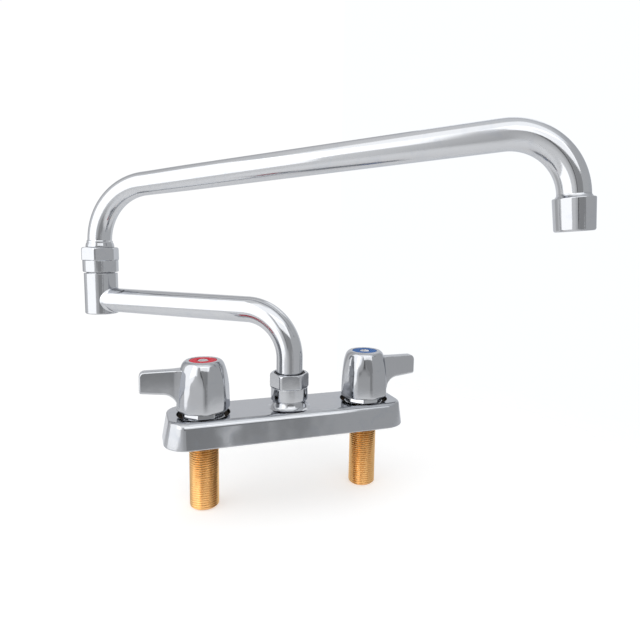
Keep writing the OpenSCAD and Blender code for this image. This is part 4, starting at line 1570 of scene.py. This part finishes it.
    def build(self) -> None:
        """Builds and dresses the spout and its outlet."""
        outlet = self.outlet_place
        for piece, node, shell, crease, finish, place in (
                ("spout", "upper_spout_tube", self.tube(), 50.0, Finishes.TUBE, self.place),
                ("collar", "swivel_collar", self.collar(), 34.0, Finishes.MILLED, self.place),
                ("outlet_lip", "outlet_adapter", self.lip(), 30.0, Finishes.MILLED, outlet),
                ("aerator_shell", "aerator_housing", self.shell(), 34.0, Finishes.MILLED,
                 outlet @ shift(0, 0, self.lip_h))):
            add_piece(piece, shell.mesh(piece, crease), finish, "upper_spout", place, node)


@dataclass
class InnerPieces:
    """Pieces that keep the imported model's own shape and get a better finish."""

    endings: dict[Finishes, tuple[str, ...]] = field(default_factory=lambda: {
        Finishes.BRASS_CAST: ("waterway",),
        Finishes.BRASS: ("valve_body", "stem", "end_bush"),
        Finishes.RUBBER: ("dust_ring", "seat_seal", "body_seal", "end_seals", "washer", "stem_seal"),
        Finishes.CERAMIC: ("fixed_disc", "moving_disc"),
        Finishes.STEEL: ("screen", "stem_clip"),
        Finishes.NYLON: ("retainer", "insert")})

    def build(self) -> None:
        """Dresses each node that no piece stands for."""
        for name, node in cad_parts.items():
            for finish, endings in self.endings.items():
                if name.endswith(endings):
                    node.data.materials.clear()
                    node.data.materials.append(finish.value.material())
                    smooth(node.data, 30.0)
                    LOG.info("%s keeps its shape, in %s", name, finish.value.name)


@dataclass(frozen=True)
class Panel:
    """A soft-edged panel of the room, as bright as its level.

    Its sides are in degrees to the right of the way back to the camera, and its lower and upper edges in
    degrees above the horizon. A panel behind the faucet is given by its sides on the right only.
    """

    level: float
    left: float
    right: float
    low: float
    high: float
    soft: float
    soft_rise: float
    behind: bool = False

    def share(self, tree: Tree, turn_deg: Sock, rise_deg: Sock) -> Sock:
        """Finds how much of a direction the panel covers.

        Args:
            tree: the world's tree.
            turn_deg: the direction's turn to the right.
            rise_deg: its height above the horizon.

        Returns:
            The share, from 0 to 1.
        """
        if self.behind:
            wide = tree.step(tree.math("ABSOLUTE", turn_deg), self.left - self.soft, self.left)
        else:
            wide = (tree.step(turn_deg, self.left, self.left + self.soft)
                    * (1 - tree.step(turn_deg, self.right - self.soft, self.right)))
        tall = (tree.step(rise_deg, self.low, self.low + self.soft_rise)
                * (1 - tree.step(rise_deg, self.high - self.soft_rise, self.high)))
        return wide * tall


@dataclass(frozen=True)
class Lamp:
    """A soft rectangular lamp, in metres and watts."""

    name: str
    where: Place
    wide: float
    tall: float
    watts: float
    aim: Place = (0.0, 0.02, 0.08)

    def build(self) -> None:
        """Adds the lamp."""
        data = bpy.data.lights.new(self.name, "AREA")
        data.shape = "RECTANGLE"
        data.size, data.size_y = self.wide, self.tall
        data.energy = self.watts
        lamp = bpy.data.objects.new(self.name, data)
        bpy.context.scene.collection.objects.link(lamp)
        lamp.location = Vector(self.where)
        lamp.rotation_euler = (Vector(self.aim) - lamp.location).to_track_quat("-Z", "Y").to_euler()


@dataclass
class Studio:
    """The floor, the lamps, the surroundings and the camera."""

    floor_z: float = -41.8
    floor_r: float = 0.36
    floor_glow: float = 0.42
    floor_tone: Colour = (0.8, 0.8, 0.8)
    fade_from: float = 0.4
    fade_to: float = 0.95
    wall: float = 0.68
    ceiling: float = 1.0
    ceiling_rise: Span = (35.0, 70.0)
    even: float = 0.62
    pale: Colour = (1.0, 1.0, 1.0)
    cool: Colour = (0.97, 0.985, 1.0)
    cool_turn: Span = (-60.0, 120.0)
    across: Span = (0.93321, -0.35936)
    # level, left, right, low, high, and how wide the soft edges are across and up
    panels: tuple[Panel, ...] = (
        Panel(0.42, 2, 40.5, -40, 60, 4, 8),
        Panel(1.0, -124, -3, -70, 60, 20, 16),
        Panel(2.0, -48, -13, 4, 52, 6, 5),
        Panel(1.7, -70, 80, 40, 86, 20, 10),
        Panel(0.16, -5, 4, -6, 24, 3, 6),
        Panel(0.64, 33, 36, -16, 3, 0.7, 3),
        Panel(1.2, 29.2, 31.2, -16, 3, 0.7, 3),
        Panel(1.02, 145, 180, -95, 34, 8, 8, behind=True),
    )
    # name, place, width, height, watts and aim
    lamps: tuple[Lamp, ...] = (
        Lamp("softbox", (-0.55, -0.21, 0.4), 0.82, 1.0, 2.6, (0.42, -0.452, 0.4)),
        Lamp("front", (0.05, -1.15, 0.92), 1.2, 0.7, 3.4, (0.15, -0.09, 0.16)),
        Lamp("rim", (0.9, 0.9, 1.1), 0.8, 0.5, 1.0),
    )
    lens: float = 30.375
    sensor: float = 36.0
    clip: Span = (0.01, 50.0)
    shift_x: float = -0.03018
    shift_y: float = -0.01809
    eye: Place = (-88.380, -311.775, 117.811)
    right: Place = (0.932981, -0.359291, 0.021364)
    down: Place = (-0.026919, -0.128847, -0.991299)
    ahead: Place = (0.358917, 0.924288, -0.129884)

    def camera(self) -> None:
        """Sets the camera at the photograph's place."""
        data = bpy.data.cameras.new("camera")
        data.lens = self.lens
        data.sensor_width = self.sensor
        data.shift_x, data.shift_y = self.shift_x, self.shift_y
        data.clip_start, data.clip_end = self.clip
        camera = bpy.data.objects.new("camera", data)
        bpy.context.scene.collection.objects.link(camera)
        axes = Matrix((self.right, -Vector(self.down), -Vector(self.ahead)))
        camera.matrix_world = Matrix.Translation(Vector(self.eye) * MM) @ axes.transposed().to_4x4()
        bpy.context.scene.camera = camera

    def floor(self) -> None:
        """Lays a plain pale floor that fades out at its rim."""
        made = Shell(64)
        made.points = made.ring(self.floor_r / MM, 0.0).tolist()
        made.faces = [list(range(made.around))]
        mesh = made.mesh("floor")
        floor = bpy.data.objects.new("floor", mesh)
        floor.location.z = self.floor_z * MM
        bpy.context.scene.collection.objects.link(floor)
        pale = bpy.data.materials.new("floor_pale")
        pale.use_nodes = True
        tree = Tree(pale.node_tree)
        matt = tree.out(tree.add("ShaderNodeBsdfDiffuse", None, {"Color": self.floor_tone}))
        strength = self.shown(tree) * self.floor_glow
        glow = tree.out(tree.add("ShaderNodeEmission", None, {"Strength": strength}))
        both = tree.out(tree.add("ShaderNodeAddShader", None, {0: matt, 1: glow}))
        clear = tree.out(tree.add("ShaderNodeBsdfTransparent"))
        x, y, _ = tree.parts(tree.place())
        fade = tree.step(tree.math("SQRT", x * x + y * y), self.floor_r * self.fade_from,
                         self.floor_r * self.fade_to)
        mixed = tree.add("ShaderNodeMixShader", None, {0: fade, 1: both, 2: clear})
        tree.add("ShaderNodeOutputMaterial", None, {"Surface": tree.out(mixed)})
        mesh.materials.append(pale)

    @staticmethod
    def shown(tree: Tree) -> Sock:
        """Finds the rays that show the background: to the eye, mirrored, or through glass.

        Args:
            tree: a shader's tree.

        Returns:
            1 for such a ray and 0 for the others.
        """
        rays = tree.add("ShaderNodeLightPath")
        seen = tree.math("MAXIMUM", tree.out(rays, "Is Camera Ray"), tree.out(rays, "Is Glossy Ray"))
        return tree.math("MAXIMUM", seen, tree.out(rays, "Is Transmission Ray"))

    def surroundings(self) -> None:
        """Makes the room: an even light, and a background of pale and grey panels."""
        world = bpy.data.worlds.new("studio")
        bpy.context.scene.world = world
        world.use_nodes = True
        tree = Tree(world.node_tree)
        x, y, z = tree.parts(tree.out(tree.add("ShaderNodeTexCoord"), "Generated"))
        side = x * self.across[0] + y * self.across[1]
        near = x * self.across[1] - y * self.across[0]
        turn_deg = tree.math("ARCTAN2", side, near) * (180 / math.pi)
        rise_deg = tree.math("ARCSINE", z) * (180 / math.pi)
        level = tree.step(rise_deg, *self.ceiling_rise) * (self.ceiling - self.wall) + self.wall
        for panel in self.panels:
            level = level + panel.share(tree, turn_deg, rise_deg) * (panel.level - level)
        glow = tree.add("ShaderNodeBackground", None, {
            "Color": tree.blend(tree.step(turn_deg, *self.cool_turn), self.pale, self.cool),
            "Strength": self.shown(tree) * (level - self.even) + self.even})
        tree.add("ShaderNodeOutputWorld", None, {"Surface": tree.out(glow)})

    def build(self) -> None:
        """Builds the studio."""
        self.camera()
        self.floor()
        self.surroundings()
        for lamp in self.lamps:
            lamp.build()
        bpy.context.scene.view_settings.view_transform = "Standard"


def main() -> None:
    """Builds the studio and the faucet, and logs each piece's faces and each kept node's finish."""
    logging.basicConfig(level=logging.INFO, format="%(name)s: %(message)s")
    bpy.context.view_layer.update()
    Studio().build()
    InnerPieces().build()
    DeckBody().build()
    arm = LowerArm()
    arm.build()
    spout = UpperSpout(arm)
    spout.build()
    nut = SwivelNut()
    nut.build("spout_swivel_nut", "spout_nut", "base", arm.nut_place)
    nut.build("arm_swivel_nut", "swivel_nut", "lower_arm", spout.nut_place)
    for side in (-1, 1):
        Valve(side).build()
        Shank(side).build()


if __name__ == "__main__":
    main()
